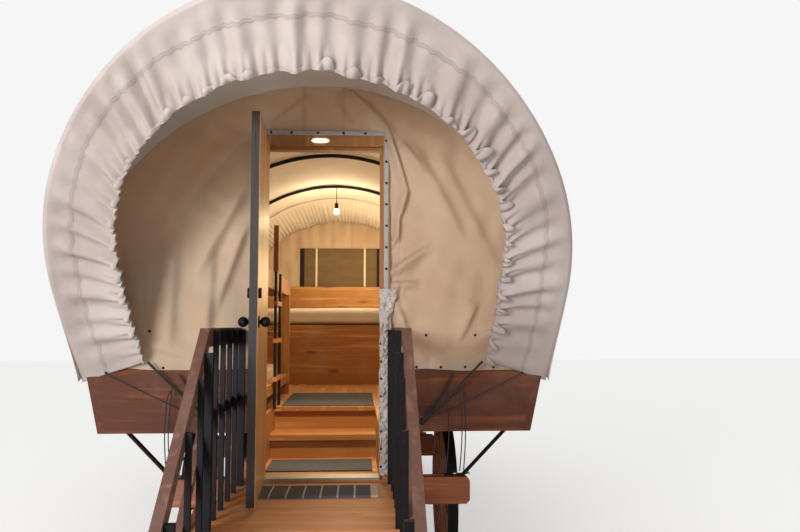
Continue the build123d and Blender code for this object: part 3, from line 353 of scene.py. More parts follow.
def to_front(points):
    """The same shape at the other end of the wagon."""
    return points * (1, -1, 1) + (0, 2 * door_end + box_length, 0)


section = bonnet_line(200)
print("section:", len(section), "points, crown at", round(section[:, 1].max(), 3))

# %% [markdown]
# ## From arrays to meshes
# A surface is an array of points with rows and columns. Four neighbours make a face. Where the
# last column is the first one again, the surface closes into a tube.

# %% Mesh helper
def make(name, grids, material, closed=False, centre=None, wall=0.0, uv=None):
    """One piece from grids of points (rows, columns, 3). Faces are turned away from centre, uv holds
    a pair of numbers for every point, and wall gives the sheet a thickness inwards. All of these
    pieces ride on the wagon itself."""
    points, faces, start = [], [], 0
    for grid in grids:
        rows, columns = grid.shape[:2]
        index = start + np.arange(rows * columns).reshape(rows, columns)
        if closed:
            index = np.concatenate([index, index[:, :1]], 1)
        corners = [index[:-1, :-1], index[:-1, 1:], index[1:, 1:], index[1:, :-1]]
        faces.append(np.stack(corners, -1).reshape(-1, 4))
        points.append(grid.reshape(-1, 3))
        start += rows * columns
    mesh = bpy.data.meshes.new(name)
    mesh.from_pydata(np.concatenate(points), [], np.concatenate(faces))
    mesh.update()
    if closed:
        work = bmesh.new()
        work.from_mesh(mesh)
        bmesh.ops.remove_doubles(work, verts=work.verts, dist=1e-6)
        work.to_mesh(mesh)
        work.free()
    if centre is not None:
        normal, middle = np.empty((2, len(mesh.polygons), 3))
        mesh.polygons.foreach_get("normal", normal.ravel())
        mesh.polygons.foreach_get("center", middle.ravel())
        if ((middle - np.array(centre)) * normal).sum() < 0:
            mesh.flip_normals()
    mesh.polygons.foreach_set("use_smooth", np.ones(len(mesh.polygons), bool))
    if uv is not None:
        corner = np.empty(len(mesh.loops), int)
        mesh.loops.foreach_get("vertex_index", corner)
        layer = mesh.uv_layers.new(name="cloth")
        layer.data.foreach_set("uv", uv.reshape(-1, 2)[corner].ravel())
    made = bpy.data.objects.new(name, mesh)
    bpy.context.scene.collection.objects.link(made)
    made.data.materials.append(material)
    if wall:
        thicken = made.modifiers.new("thickness", "SOLIDIFY")
        thicken.thickness = wall
    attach(made, "wagon")
    return made


def tube_grid(path, radius, sides=10):
    """Circle carried along a path: at each point it lies across the path's direction."""
    path = np.asarray(path, float)
    way = unit(np.gradient(path, axis=0))
    helper = np.where(np.abs(way[:, 2:3]) < 0.9, np.array([[0, 0, 1.0]]), np.array([[1.0, 0, 0]]))
    first = unit(np.cross(way, helper))
    second = np.cross(way, first)
    angle = np.linspace(0, 2 * math.pi, sides, endpoint=False)[None, :, None]
    ring = first[:, None] * np.cos(angle) + second[:, None] * np.sin(angle)
    reach = np.broadcast_to(np.asarray(radius, float).reshape(-1, 1, 1), (len(path), 1, 1))
    return path[:, None] + ring * reach


def capped(grid):
    """The same rings with one more at each end, drawn in to that end's middle, so the tube closes."""
    first, last = grid[:1].mean(1, keepdims=True), grid[-1:].mean(1, keepdims=True)
    return np.concatenate([first + 0 * grid[:1], grid, last + 0 * grid[:1]])


def closed_tube(path, radius, sides=10):
    """Tube along a path, closed at its two ends."""
    return capped(tube_grid(path, radius, sides))


def dome_grid(place, way, radius, height, sides=12):
    """Flattened dome on a surface: rings that shrink as they rise along way."""
    way = np.asarray(way, float) / np.linalg.norm(way)
    helper = (0, 0, 1.0) if abs(way[2]) < 0.9 else (1.0, 0, 0)
    first = np.cross(way, helper)
    first /= np.linalg.norm(first)
    second = np.cross(way, first)
    rise = np.array([-0.3, 0.0, 0.45, 0.8, 0.95, 1.0])[:, None, None]
    width = np.array([1.0, 1.0, 0.92, 0.66, 0.34, 0.1])[:, None, None]
    angle = np.linspace(0, 2 * math.pi, sides, endpoint=False)[None, :, None]
    ring = (first * np.cos(angle) + second * np.sin(angle)) * width * radius
    return capped(np.asarray(place, float) + ring + way * rise * height)


# %% [markdown]
# ## Canvas
# Waxed cotton canvas is matt, a little uneven in tone, and thin enough for light to pass: with a lamp
# on inside, the whole cloth glows. So its finish mixes a plain surface with a translucent one. The
# weave is two crossed sets of threads, drawn as bumps along the piece's own cloth coordinates.

# %% Canvas finish
def canvas_finish(name, tone, shade, glow=0.35, seams=(), thread=0.0016, rough=0.78, gloss=0.25):
    """Woven cloth with clouds of tone, stitched seams at set places on the cloth and light through it."""
    finish = Finish(name, Specular_IOR_Level=gloss, Sheen_Weight=0.15)
    cloth = finish.place(source="UV")
    place = finish.place()
    along, across = finish.axis(cloth, "X"), finish.axis(cloth, "Y")
    warp = (along * (math.pi / thread)).math("SINE")
    weft = (across * (math.pi / thread)).math("SINE")
    weave = (warp * weft) * 0.5 + 0.5
    cloud = finish.noise(place, 1.6, 6.0, 0.62)
    fleck = finish.noise(place, 60.0, 3.0, 0.6)
    crease = finish.noise(finish.place((3.0, 3.0, 3.0)), 3.0, 8.0, 0.55, 1.2)
    tone_mix = finish.mix(cloud.ramp(0.3, 0.72), shade, tone)
    tone_mix = finish.mix(fleck.ramp(0.62, 0.78, 0.0, 0.18), tone_mix, dimmed(shade, 0.6))
    height = crease * 0.9 + weave * 0.1
    for axis_name, at in seams:
        reach = ((along if axis_name == "X" else across) - at).math("ABSOLUTE")
        lap = reach.ramp(0.010, 0.013, 1.0, 0.0)
        row = (reach - 0.007).math("ABSOLUTE").ramp(0.0008, 0.0018, 1.0, 0.0)
        other = across if axis_name == "X" else along
        stitch = row * (other * (2 * math.pi / 0.008)).math("SINE").ramp(-0.2, 0.2)
        tone_mix = finish.mix(lap * 0.14 + stitch * 0.5, tone_mix, dimmed(shade, 0.45))
        height = height + lap * 0.5 - row * 0.35
    normal = finish.bump(height, 0.003)
    finish.feed(Base_Color=tone_mix, Roughness=cloud * 0.1 + rough, Normal=normal)
    through = finish.tree.nodes.new("ShaderNodeBsdfTranslucent")
    through.inputs["Color"].default_value = tone
    both = finish.tree.nodes.new("ShaderNodeMixShader")
    both.inputs[0].default_value = glow
    finish.tree.links.new(finish.shader.outputs[0], both.inputs[1])
    finish.tree.links.new(through.outputs[0], both.inputs[2])
    finish.tree.links.new(both.outputs[0], finish.tree.nodes["Material Output"].inputs["Surface"])
    return finish.material


cream, cream_shade = colour(230, 221, 211), colour(218, 208, 198)
hood_tone, hood_shade = colour(220, 208, 202), colour(196, 180, 174)
wall_tone, wall_shade = colour(230, 210, 186), colour(214, 190, 164)
cover_seams = (("X", 1.8), ("X", 3.6), ("X", 5.4))
wall_seams = (("X", -0.098), ("X", 0.150))
cover_cloth = canvas_finish("cover canvas", cream, cream_shade, 0.25, cover_seams)
hood_cloth = canvas_finish("hood canvas", hood_tone, hood_shade, 0.28, (("Y", 0.25),))
wall_cloth = canvas_finish("end canvas", wall_tone, wall_shade, 0.42, wall_seams)

# %% [markdown]
# ## Cover
# The cover is one long sheet pulled over the hoops and laced down along the box. It touches only the
# hoops, so it sags a little between them, and its lower edge rides up between the snaps that hold it.

# %% Cover
hoop_at = np.array([0.12, 1.895, 3.36, box_length - 0.12])
rows, columns = 210, 170
line = bonnet_line(columns)
end_reach = hood_gap + (line[:, 1] - hood_foot_z) * math.tan(lean)
share = np.linspace(0, 1, rows)[:, None]
distance = -end_reach + share * (box_length + 2 * end_reach)
tangent = unit(np.gradient(line, axis=0))
inward = np.stack([-tangent[:, 1], tangent[:, 0]], -1)
around = np.linspace(0, 1, columns) * line_length(line)
support = np.concatenate([[-0.05], hoop_at, [box_length + 0.05]])
bay = np.clip(np.searchsorted(support, distance) - 1, 0, len(support) - 2)
part = np.clip((distance - support[bay]) / (support[bay + 1] - support[bay]), 0, 1)
low = np.minimum(around, around[-1] - around)[None, :]
sag = 0.022 * (4 * part * (1 - part)) * smooth(0.0, 0.8, low)
scallop = 0.5 - 0.5 * np.cos(2 * math.pi * distance / 0.45)
pull = 0.006 * np.exp(-low / 0.22) * scallop
inner_part = smooth(0, 0.05, share) * smooth(0, 0.05, 1 - share)
crumple = 0.0035 * waves(distance + 0 * low, around + 0 * distance, 3, 0.7) * inner_part
crumple = crumple + 0.0030 * waves(distance * 0.5 + 0 * low, around + 0 * distance, 4, 0.24) * inner_part
depth = sag + pull + crumple
hem_rise = 0.016 * np.exp(-low / 0.06) * scallop
droop = 0.06 * np.exp(-low / 0.12) * (np.exp(-share * 60) + np.exp(-(1 - share) * 60))
cover_points = np.stack([
    line[:, 0] + inward[:, 0] * depth,
    door_end + distance,
    line[:, 1] + inward[:, 1] * depth + hem_rise - droop,
], -1)
cover_uv = np.stack([distance, around + 0 * distance], -1)
wagon_middle = (0, door_end + box_length / 2, 1.9)
cover = make("cover", [cover_points], cover_cloth, centre=wagon_middle, wall=0.003, uv=cover_uv)
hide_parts("cover_barrel")
cut = float(around[-1] * (box_length + 2 * end_reach.mean()))
print("cover:", rows * columns, "points, around", round(float(around[-1]), 2), "m")

# %% [markdown]
# ## Hoods
# At each end the canvas turns over the leaning hoop and a drawcord gathers it to a smaller ring. A
# gathered edge makes pleats: sharp valleys with round ridges between them, many and fine at the cord,
# joining in pairs as the cloth opens out. The absolute value of a sine has just that shape.

# %% Hood surface
ring_radius, ring_rise, ring_leg = 1.045, 0.808, 1.010
fold_count, pucker_count = 40, 92


def ring_line(count):
    """Points (x, h) of the gathered edge in the leaning plane: a leg that bows out a little on
    each side, and half a circle over them."""
    rise = np.linspace(0.07, ring_rise, 120)
    bow = ring_leg + (ring_radius - ring_leg) * (1 - ((ring_rise - rise) / ring_rise) ** 2)
    leg = np.stack([bow, rise], -1)
    angle = np.linspace(0, math.pi / 2, 300)
    over = np.stack([ring_radius * np.cos(angle), ring_rise + ring_radius * np.sin(angle)], -1)
    right = np.concatenate([leg, over])
    return even(np.concatenate([right, right[::-1] * (-1, 1)]), count)


def hood_grids(seed):
    """The gathered sheet from the leaning hoop in to the ring, and the hem that lies back from the
    ring in loops. Round folds run all the way out, and finer, sharper ones start near the ring."""
    rows, columns = 60, 640
    outer = bonnet_line(columns, base=1.407)
    outer = np.stack([outer[:, 0], (outer[:, 1] - hood_foot_z) / math.cos(lean)], -1)
    ring = ring_line(columns)
    run = np.linspace(0, 1, columns)
    place = run * line_length(ring)
    level = 0 * place
    warp = run + 0.0045 * waves(place, level, seed, 0.5) + 0.006 * waves(place, level, seed + 1, 1.6)
    away = unit(ring - np.array([0.0, ring_rise]))
    folds, puckers = 2 * math.pi * fold_count * warp, math.pi * pucker_count * warp
    edge = 0.007 * waves(place, level, seed + 2, 0.30) + 0.010 * np.abs(np.sin(puckers))
    ring = ring + away * edge[:, None]
    span = np.linalg.norm(outer - ring, axis=1)
    toward = np.linspace(0, 1, rows)[:, None]
    strength = np.clip(0.85 + 0.45 * waves(place, level, seed + 3, 0.45), 0.3, 1.5)
    lower = smooth(0.0, 0.35, outer[:, 1])[None, :] * 0.7 + 0.3

    def folded(toward):
        """How far the cloth stands out of the leaning plane."""
        drift = 0.5 * waves(place + 0 * toward, toward * 0.5, seed + 7, 0.7)
        round_fold = np.sin(folds + drift * (1 - toward))
        sharp_fold = np.abs(np.sin(puckers + 0.6 * drift)) - 0.64
        side_fold = np.sin(0.5 * folds + 1.3 + drift)
        return lower * (
            0.017 * round_fold * smooth(0.03, 0.45, toward) * strength
            + 0.010 * side_fold * smooth(0.0, 0.5, toward)
            + 0.026 * sharp_fold * smooth(0.62, 1.0, toward)
            + 0.004 * waves(place + 0 * toward, toward * 0.5, seed + 4, 0.16) * smooth(0, 0.2, toward)
            - 0.02 * np.sin(math.pi * toward)
            + 0.014 * smooth(0.0, 0.05, toward)
        )

    flat = outer[None] * (1 - toward[..., None]) + ring[None] * toward[..., None]
    sheet = hood_place(flat[..., 0], flat[..., 1], folded(toward))
    out = np.linspace(0, 1, 12)[:, None]
    loop_size = np.clip(0.7 + 0.6 * waves(place, level, seed + 5, 0.35), 0.15, 1.3)
    loop = (0.5 + 0.5 * np.sin(folds + 1.2)) ** 2 * loop_size
    right_side = smooth(-0.5, 0.5, ring[:, 0])
    back = (0.010 + (0.030 + 0.045 * right_side) * loop) * out
    lift = folded(1 - back / span) + 0.005 + 0.020 * loop * np.sin(0.8 * math.pi * out)
    along_ring = unit(np.gradient(ring, axis=0))
    spread = -0.016 * np.cos(folds + 1.2) * loop * out
    hem_flat = ring[None] + away[None] * back[..., None] + along_ring[None] * spread[..., None]
    hem = hood_place(hem_flat[..., 0], hem_flat[..., 1], lift)
    cloth = np.stack([place + 0 * toward, (1 - toward) * span], -1)
    hem_cloth = np.stack([place + 0 * out, -0.05 * out + level], -1)
    return sheet, hem, np.concatenate([cloth.reshape(-1, 2), hem_cloth.reshape(-1, 2)])


def grid_area(grid):
    """Area of a grid: half the cross product of each face's diagonals."""
    one = grid[1:, 1:] - grid[:-1, :-1]
    two = grid[:-1, 1:] - grid[1:, :-1]
    return float(np.linalg.norm(np.cross(one, two), axis=-1).sum() / 2)


hood_pieces, hood_sheets = [], []
for end, seed in (("rear", 11), ("front", 31)):
    sheet, hem, cloth = hood_grids(seed)
    if end == "front":
        sheet, hem = to_front(sheet), to_front(hem)
    hood = make("hood_" + end, [sheet, hem], hood_cloth, centre=wagon_middle, wall=0.003, uv=cloth)
    total = grid_area(sheet) + grid_area(hem)
    hood_pieces.append(hood)
    hood_sheets.append(sheet)
    print("hood", end, "area", round(total, 2))
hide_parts("hoods")

# %% [markdown]
# ## End walls
# The door end is closed by a canvas wall cut round the door frame. It laps on to the frame under a
# binding strip and hangs in folds: long soft ones down from the bonnet, and tight ones that pull from
# the frame's corners. Rays from the foot of the door make the grid: each runs from the frame out to
# the bonnet, so the hole and the outer edge both come out exact.

# %% Fold helper and door-end wall
def fold(x, z, start, end, width, height):
    """One crease of cloth: a ridge along a line, steep on one side and soft on the other, and
    fading to nothing at both of its ends."""
    start, end = np.array(start, float), np.array(end, float)
    length = np.linalg.norm(end - start)
    way = (end - start) / length
    run = ((x - start[0]) * way[0] + (z - start[1]) * way[1]) / length
    off = (z - start[1]) * way[0] - (x - start[0]) * way[1]
    side = np.where(off > 0, 0.55, 1.4)
    fade = smooth(-0.05, 0.25, run) * smooth(-0.05, 0.35, 1 - run)
    return height * fade * np.exp(-((off / (width * side)) ** 2))


def ray_grid(centre, angles, inner, outer, rows):
    """Points (x, z) on rays from a centre: from the inner outline to the outer one."""
    def reach(outline):
        seen = np.arctan2(outline[:, 1] - centre[1], outline[:, 0] - centre[0]) % (2 * math.pi)
        far = np.hypot(outline[:, 0] - centre[0], outline[:, 1] - centre[1])
        order = np.argsort(seen)
        return np.interp(angles, seen[order], far[order])

    near, far = inner(angles), reach(outer)
    share = np.linspace(0, 1, rows)[:, None] ** 1.15
    length = near + (far - near) * share
    return centre[0] + np.cos(angles) * length, centre[1] + np.sin(angles) * length, share


def opening_reach(left, right, top, bottom=None):
    """Distance from the centre to a rectangle's edge in each direction."""
    def distance(angles):
        cosine, sine = np.cos(angles), np.sin(angles)
        with np.errstate(divide="ignore"):
            across = np.where(cosine > 0, right / cosine, left / cosine)
            up = np.where(sine > 0, top / sine, (bottom if bottom is not None else -1e9) / sine)
        return np.minimum(np.where(across > 0, across, 1e9), np.where(up > 0, up, 1e9))
    return distance


wall_foot, frame_top, frame_sides = 1.478, 2.931, (0.403, -0.366)
wall_centre = (0.025, wall_foot)
corners_at = [math.atan2(frame_top - wall_foot, x - wall_centre[0]) for x in frame_sides]
angles = np.unique(np.concatenate([np.linspace(0, math.pi, 460), corners_at]))
inset_line = bonnet_line(3000, 0.0115, wall_foot)
doorway = opening_reach(-0.391, 0.378, frame_top - wall_foot)
x, z, share = ray_grid(wall_centre, angles, doorway, inset_line, 90)
creases = (
    # start, end, width, height
    ((0.162, 3.238), (0.503, 2.897), 0.045, 0.022),
    ((0.503, 2.897), (0.658, 2.680), 0.045, 0.020),
    ((0.435, 2.947), (0.553, 2.562), 0.024, 0.030),
    ((0.553, 2.600), (0.497, 2.400), 0.022, 0.028),
    ((0.497, 2.440), (0.490, 2.250), 0.018, 0.022),
    ((0.416, 2.060), (0.708, 2.252), 0.030, 0.026),
    ((0.420, 2.000), (0.640, 2.010), 0.026, 0.018),
    ((0.560, 2.900), (0.930, 2.200), 0.070, 0.024),
    ((0.720, 2.850), (1.150, 2.000), 0.080, 0.016),
    ((0.987, 1.905), (0.794, 1.520), 0.040, 0.018),
    ((0.640, 1.500), (1.180, 1.760), 0.045, 0.018),
    ((0.900, 1.500), (1.300, 1.640), 0.030, 0.012),
    ((0.470, 1.900), (0.600, 1.560), 0.035, 0.018),
    ((-0.446, 2.920), (-0.979, 2.300), 0.075, 0.026),
    ((-0.446, 2.610), (-0.774, 1.990), 0.060, 0.026),
    ((-0.430, 2.400), (-0.640, 1.800), 0.045, 0.020),
    ((-0.700, 2.980), (-1.120, 2.350), 0.080, 0.018),
    ((-0.870, 2.300), (-0.900, 1.560), 0.060, 0.020),
    ((-0.640, 2.200), (-0.680, 1.560), 0.050, 0.018),
    ((-1.080, 2.200), (-1.060, 1.560), 0.055, 0.014),
    ((-0.550, 1.500), (-1.250, 1.700), 0.040, 0.016),
    ((-0.300, 2.980), (-0.050, 3.180), 0.040, 0.012),
    ((0.250, 2.980), (0.100, 3.200), 0.040, 0.012),
)
relief = sum(fold(x, z, *crease) for crease in creases)
relief = relief + 0.006 * waves(x * 2.0, z * 0.5, 7, 0.45) + 0.0025 * waves(x, z, 8, 0.16)
edge_soft = smooth(0.0, 0.12, share) * smooth(0.0, 0.10, 1 - share)
room = 0.014 + 0.09 * smooth(1.5, 1.85, z)
billow = 0.020 * np.sin(math.pi * np.clip(share, 0, 1)) * smooth(1.45, 1.9, z)
lap = 1 - smooth(0.0, 0.05, share)
depth = 0.006 + room * np.tanh((relief * 2.2 + billow) * edge_soft / room)
depth = depth * (1 - lap) + 0.0335 * lap
crushed = smooth(0.0, 0.03, share) * np.exp(-((x - 0.47) / 0.05) ** 2)
crushed = crushed * smooth(1.45, 1.6, z) * (1 - smooth(2.2, 2.5, z))
depth = depth + 0.010 * crushed * waves(x * 2, z, 9, 0.07)
foot_wave = 0.010 * waves(x, 0 * x, 5, 0.5) * np.exp(-(z - wall_foot) / 0.03)
wall_points = np.stack([x, door_end - depth, z + foot_wave], -1)
wall_uv = np.stack([x, z], -1)
behind = (0, door_end + 1, 2.2)
rear_wall = make("rear_wall", [wall_points], wall_cloth, centre=behind, wall=0.002, uv=wall_uv)
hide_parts("end_canvas_rear")
area = grid_area(wall_points)
print("rear wall area", round(area, 2))

# %% [markdown]
# The far wall is made the same way round its window: rays from the window's middle, all the way
# about, because this opening has cloth on its four sides.

# %% Front wall
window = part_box("window_flap")
window_z, window_half_x, window_half_z = 2.509, 0.515, 0.234
angles = np.unique(np.concatenate([
    np.linspace(0, 2 * math.pi, 400),
    [
        math.atan2(dz, dx) % (2 * math.pi)
        for dx in (-window_half_x, window_half_x) for dz in (-window_half_z, window_half_z)
    ],
    [math.atan2(wall_foot - window_z, sx * 1.424) % (2 * math.pi) for sx in (-1, 1)],
]))
foot_x = np.linspace(-inset_line[0, 0], inset_line[0, 0], 900)
foot = np.stack([foot_x, np.full(900, wall_foot)], -1)
loop = np.concatenate([inset_line, foot])
opening = opening_reach(-window_half_x, window_half_x, window_half_z, -window_half_z)
x, z, share = ray_grid((0.0, window_z), angles, opening, loop, 48)
relief = 0.012 * waves(x * 2.2, z * 0.5, 17, 0.4) + 0.004 * waves(x, z, 18, 0.2)
relief = relief * smooth(0, 0.15, share) * smooth(0, 0.12, 1 - share)
depth = 0.006 + np.clip(relief + 0.012 * np.sin(math.pi * share), -0.004, 0.03)
front_points = np.stack([x, door_end + box_length + depth, z], -1)
front_uv = np.stack([x, z], -1)
before = (0, door_end, 2.2)
front_wall = make("front_wall", [front_points], wall_cloth, centre=before, wall=0.002, uv=front_uv)
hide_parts("end_canvas_front")
area = grid_area(front_points)

# %% [markdown]
# Inside, the ceiling cloth is gathered towards the far wall: seen from the door it is a pleated arch
# under the last bay. It leaves the cover smooth and comes down to the wall with deep pleats.

# %% Gathered ceiling at the far wall
run = np.linspace(0, 1, 900)
pleat = np.abs(np.sin(98 * math.pi * (run + 0.003 * waves(run * 7, 0 * run, 71, 0.6))))
drop = np.linspace(0, 1, 18)[:, None]
band_start, band_end = bonnet_line(900, 0.030, 1.60), bonnet_line(900, 0.130, 1.60)
flat = band_start[None] * (1 - drop[..., None]) + band_end[None] * drop[..., None]
middle = np.array([0.0, 2.1])
inward = unit(middle - flat)
uneven = 1 + waves(run * 7 + 0 * drop, drop * 1.2, 72, 0.5)
pleat_depth = 0.024 * pleat * drop + 0.006 * uneven * smooth(0, 0.2, drop)
flat = flat + inward * pleat_depth[..., None]
gather_start, band_strip = 4.10, 6.6
far_place = door_end + gather_start + (box_length - 0.02 - gather_start) * drop + 0 * run
band_points = np.stack([flat[..., 0], far_place, flat[..., 1]], -1)
band_cloth = np.stack([run * band_strip + 0 * drop, drop * 1.13 + 0 * run], -1)
band = make("far_band", [band_points], cover_cloth, centre=(0, door_end + 4.7, 2.0), wall=0.002, uv=band_cloth)
band_area = grid_area(band_points)
print("far band area", round(band_area, 2))

# %% [markdown]
# The window's flap is a brown mesh with dark bands at its sides, held by two pale straps. A strap is
# a circle squared off and pressed flat, carried up the flap.

# %% Window flap
flap_cloth = Finish("window mesh", Roughness=0.85)
place = flap_cloth.place()
# One noise makes the folds' bump and also paints shade into the colour: darker in their hollows, lighter on
# their ridges.
fold_relief_and_shade = flap_cloth.noise(flap_cloth.place((1.5, 1, 6)), 2.0, 6.0, 0.6, 0.8)
threads = (flap_cloth.axis(place, "X") * 1500.0).math("SINE")
threads = threads * (flap_cloth.axis(place, "Z") * 1500.0).math("SINE")
side_band = (flap_cloth.axis(place, "X").math("ABSOLUTE") - 0.475).ramp(0.0, 0.006)
taupe_with_fold_shade = flap_cloth.mix(fold_relief_and_shade, colour(104, 88, 66), colour(140, 120, 90))
flap_cloth.feed(
    Base_Color=flap_cloth.mix(side_band, taupe_with_fold_shade, colour(38, 32, 28)),
    Normal=flap_cloth.bump(fold_relief_and_shade * 0.8 + threads * 0.1, 0.014),
)
(window_left, window_y, window_low), (window_right, _, window_high) = window
flap_x = np.linspace(window_left, window_right, 90)
flap_rise = np.linspace(window_low, window_high, 60)
u, w = np.meshgrid(flap_x, flap_rise, indexing="ij")
sag = 0.003 * waves(u, w * 2.0, 27, 0.22)
flap_points = np.stack([u, window_y + 0.0035 + sag * 0.5, w], -1)
flap = make(
    "flap", [flap_points], flap_cloth.material,
    centre=(0, door_end + 20, 2.5), wall=0.002, uv=np.stack([u, w], -1),
)
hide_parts("window_flap")
webbing = Finish("webbing", Roughness=0.8)
rib = (webbing.axis(webbing.place(), "Z") * 900.0).math("SINE") * 0.5 + 0.5
webbing.feed(
    Base_Color=webbing.mix(rib * 0.4, colour(226, 218, 202), colour(190, 180, 160)),
    Normal=webbing.bump(rib, 0.0006),
)
strap_grids = []
rise = flap_rise[:, None]
round_at = np.linspace(0, 2 * math.pi, 12, endpoint=False)[None]
wide, thick = 0.0125 * signed_power(np.cos(round_at), 0.4), 0.0012 * np.sin(round_at)
for at in (-0.319, 0.319):
    strap = [at + wide + 0 * rise, window_y - 0.001 + thick + 0 * rise, rise + 0 * wide]
    strap_grids.append(capped(np.stack(strap, -1)))
straps = make("flap_straps", strap_grids, webbing.material, closed=True)

# %% [markdown]
# ## Snaps, binding and cords
# Black press studs hold the canvas to the box and the door frame. Each is a small dome with a few
# dozen faces, and one function places them all from short lists of places.

# %% Snaps
stud_finish = iron("stud", colour(30, 29, 30), 0.32, 0.6)
stud_places = [(x, -0.036, 2.944) for x in (-0.378, -0.299, -0.173, -0.009, 0.150, 0.286)]
stud_places += [(0.418, -0.036, 2.90 - 0.134 * k) for k in range(0, 11)]
stud_places += [(-0.378, -0.036, 2.90 - 0.134 * k) for k in range(2, 10)]
wall_studs = [(x, 1.492) for x in (-1.369, -0.929, 0.605, 0.755, 0.906, 1.080, 1.288, 1.383)]
wall_studs += [(-1.010, 1.713), (0.664, 1.688), (0.968, 1.688)]
inside_x, inside_z = wall_points[..., 0].ravel(), wall_points[..., 2].ravel()
for x, z in wall_studs:
    nearest = np.argmin((inside_x - x) ** 2 + (inside_z - z) ** 2)
    stud_places.append((x, wall_points[..., 1].ravel()[nearest] - door_end - 0.001, z))
hood_points = hood_sheets[0].reshape(-1, 3)
for x, z in ((1.263, 1.461), (1.351, 1.424), (-1.263, 1.461), (-1.351, 1.424)):
    nearest = hood_points[np.argmin((hood_points[:, 0] - x) ** 2 + (hood_points[:, 2] - z) ** 2)]
    stud_places.append((nearest[0], nearest[1] - door_end - 0.002, nearest[2]))
studs = [dome_grid((x, door_end + v, z), (0, -1, 0), 0.0085, 0.006) for x, v, z in stud_places]
low_x = 1.4255
for k in range(12):
    y = door_end + 0.25 + k * 0.44
    studs += [dome_grid((sx * low_x, y, 1.505), (sx, 0, 0), 0.0085, 0.006) for sx in (1, -1)]
snaps = make("snaps", studs, stud_finish, closed=True)
print("snaps:", len(studs))

# %% [markdown]
# A grey binding strip runs up one side of the doorway, over its top and down the other. It is a
# squared-off circle carried along that path, a little uneven in thickness.

# %% Binding strip round the doorway
strip = Finish("binding", Roughness=0.7)
strip_noise = strip.noise(strip.place(), 30.0, 4.0)
strip.feed(
    Base_Color=strip.mix(strip_noise, colour(150, 146, 150), colour(186, 180, 180)),
    Normal=strip.bump(strip_noise, 0.001),
)
path = np.concatenate([
    np.stack([np.full(90, 0.418), np.linspace(0.84, 2.944, 90)], -1),
    np.stack([np.linspace(0.40, -0.36, 50), np.full(50, 2.944)], -1),
    np.stack([np.full(90, -0.378), np.linspace(2.93, 1.50, 90)], -1),
])
way = unit(np.gradient(path, axis=0))
across = np.stack([way[:, 1], -way[:, 0]], -1)
round_at = np.linspace(0, 2 * math.pi, 14, endpoint=False)[None]
wide = 0.0135 * signed_power(np.cos(round_at), 0.5)
thick = 0.0016 * signed_power(np.sin(round_at), 0.5)
thick = thick + 0.0008 * waves(path[:, :1], path[:, 1:], 44, 0.06)
path_x, path_z = path[:, :1] + across[:, :1] * wide, path[:, 1:] + across[:, 1:] * wide
binding = np.stack([path_x, door_end - 0.0345 - thick, path_z], -1)
binding_piece = make("binding", [capped(binding)], strip.material, closed=True)

# %% [markdown]
# Beside the right jamb hangs a narrow strip of canvas, crushed into short ridges and studded down its
# length. The absolute value of soft waves gives the ridges their sharp valleys.

# %% Rolled-up flap beside the right jamb
crushed_tone, crushed_shade = colour(222, 214, 206), colour(186, 176, 168)
crumpled = canvas_finish("crumpled canvas", crushed_tone, crushed_shade, 0.15, rough=0.38, gloss=0.6)
u, w = np.meshgrid(np.linspace(0, 1, 44), np.linspace(0.85, 1.97, 320), indexing="ij")
width = 0.070 + 0.012 * waves(w, 0 * w, 51, 0.3) + 0.03 * smooth(1.75, 1.95, w)
ridge = 0.022 * np.abs(waves(u * 0.12, w, 52, 0.10)) + 0.013 * np.abs(waves(u * 0.09, w, 53, 0.05))
ridge = ridge + 0.012 * np.sin(math.pi * u)
roll_x = 0.376 + u * width + 0.006 * waves(w, u * 0.1, 54, 0.12)
flap_side = np.stack([roll_x, door_end - 0.036 - np.clip(ridge, -0.004, 0.05), w], -1)
side_flap = make(
    "side_flap", [flap_side], crumpled,
    centre=(0.41, door_end + 0.5, 1.4), wall=0.002, uv=np.stack([u * 0.08, w], -1),
)
roll_height = 1.12
roll_flat = (roll_height, round(grid_area(flap_side) / roll_height, 3))
more = [dome_grid((0.386, door_end - 0.052, 0.90 + 0.105 * k), (0, -1, 0), 0.0075, 0.006) for k in range(9)]
flap_studs = make("flap_studs", more, stud_finish, closed=True)

# %% [markdown]
# Three drawcords run taut from an eye bolt up to each foot of a hood. Under its own weight a cord
# hangs a few millimetres, which a parabola shows well enough.

# %% Taut cords of the hoods
rope =Finish("black cord", Roughness=0.75)
lay = (rope.axis(rope.place(), "Z") * 700.0 + rope.axis(rope.place(), "X") * 700.0).math("SINE") * 0.5 + 0.5
rope.feed(Base_Color=rope.mix(lay, colour(24, 23, 25), colour(62, 60, 62)), Normal=rope.bump(lay, 0.0008))
eye_x, eye_z = 0.638, 1.163


def straight(start, end, count=24, hang=0.0):
    """Points from start to end that hang down by hang in the middle, as a parabola."""
    share = np.linspace(0, 1, count)[:, None]
    line = np.array(start, float) * (1 - share) + np.array(end, float) * share
    line[:, 2] -= hang * 4 * share[:, 0] * (1 - share[:, 0])
    return line


tips = (
    # x, distance behind the door end, height, radius of the cord
    (1.006, -0.068, 1.530, 0.0075),
    (0.828, -0.030, 1.454, 0.0055),
    (1.263, -0.040, 1.461, 0.0028),
)
cord_hang = 0.006
cords = []
for end in ("rear", "front"):
    for sx in (1, -1):
        eye_at = (sx * eye_x, door_end - 0.016, eye_z)
        for x_at, v, z_at, radius in tips:
            route = straight(eye_at, (sx * x_at, door_end + v, z_at), 24, cord_hang)
            cords.append(closed_tube(route if end == "rear" else to_front(route), radius, 8))
cord_piece = make("hood_cords", cords, rope.material, closed=True)
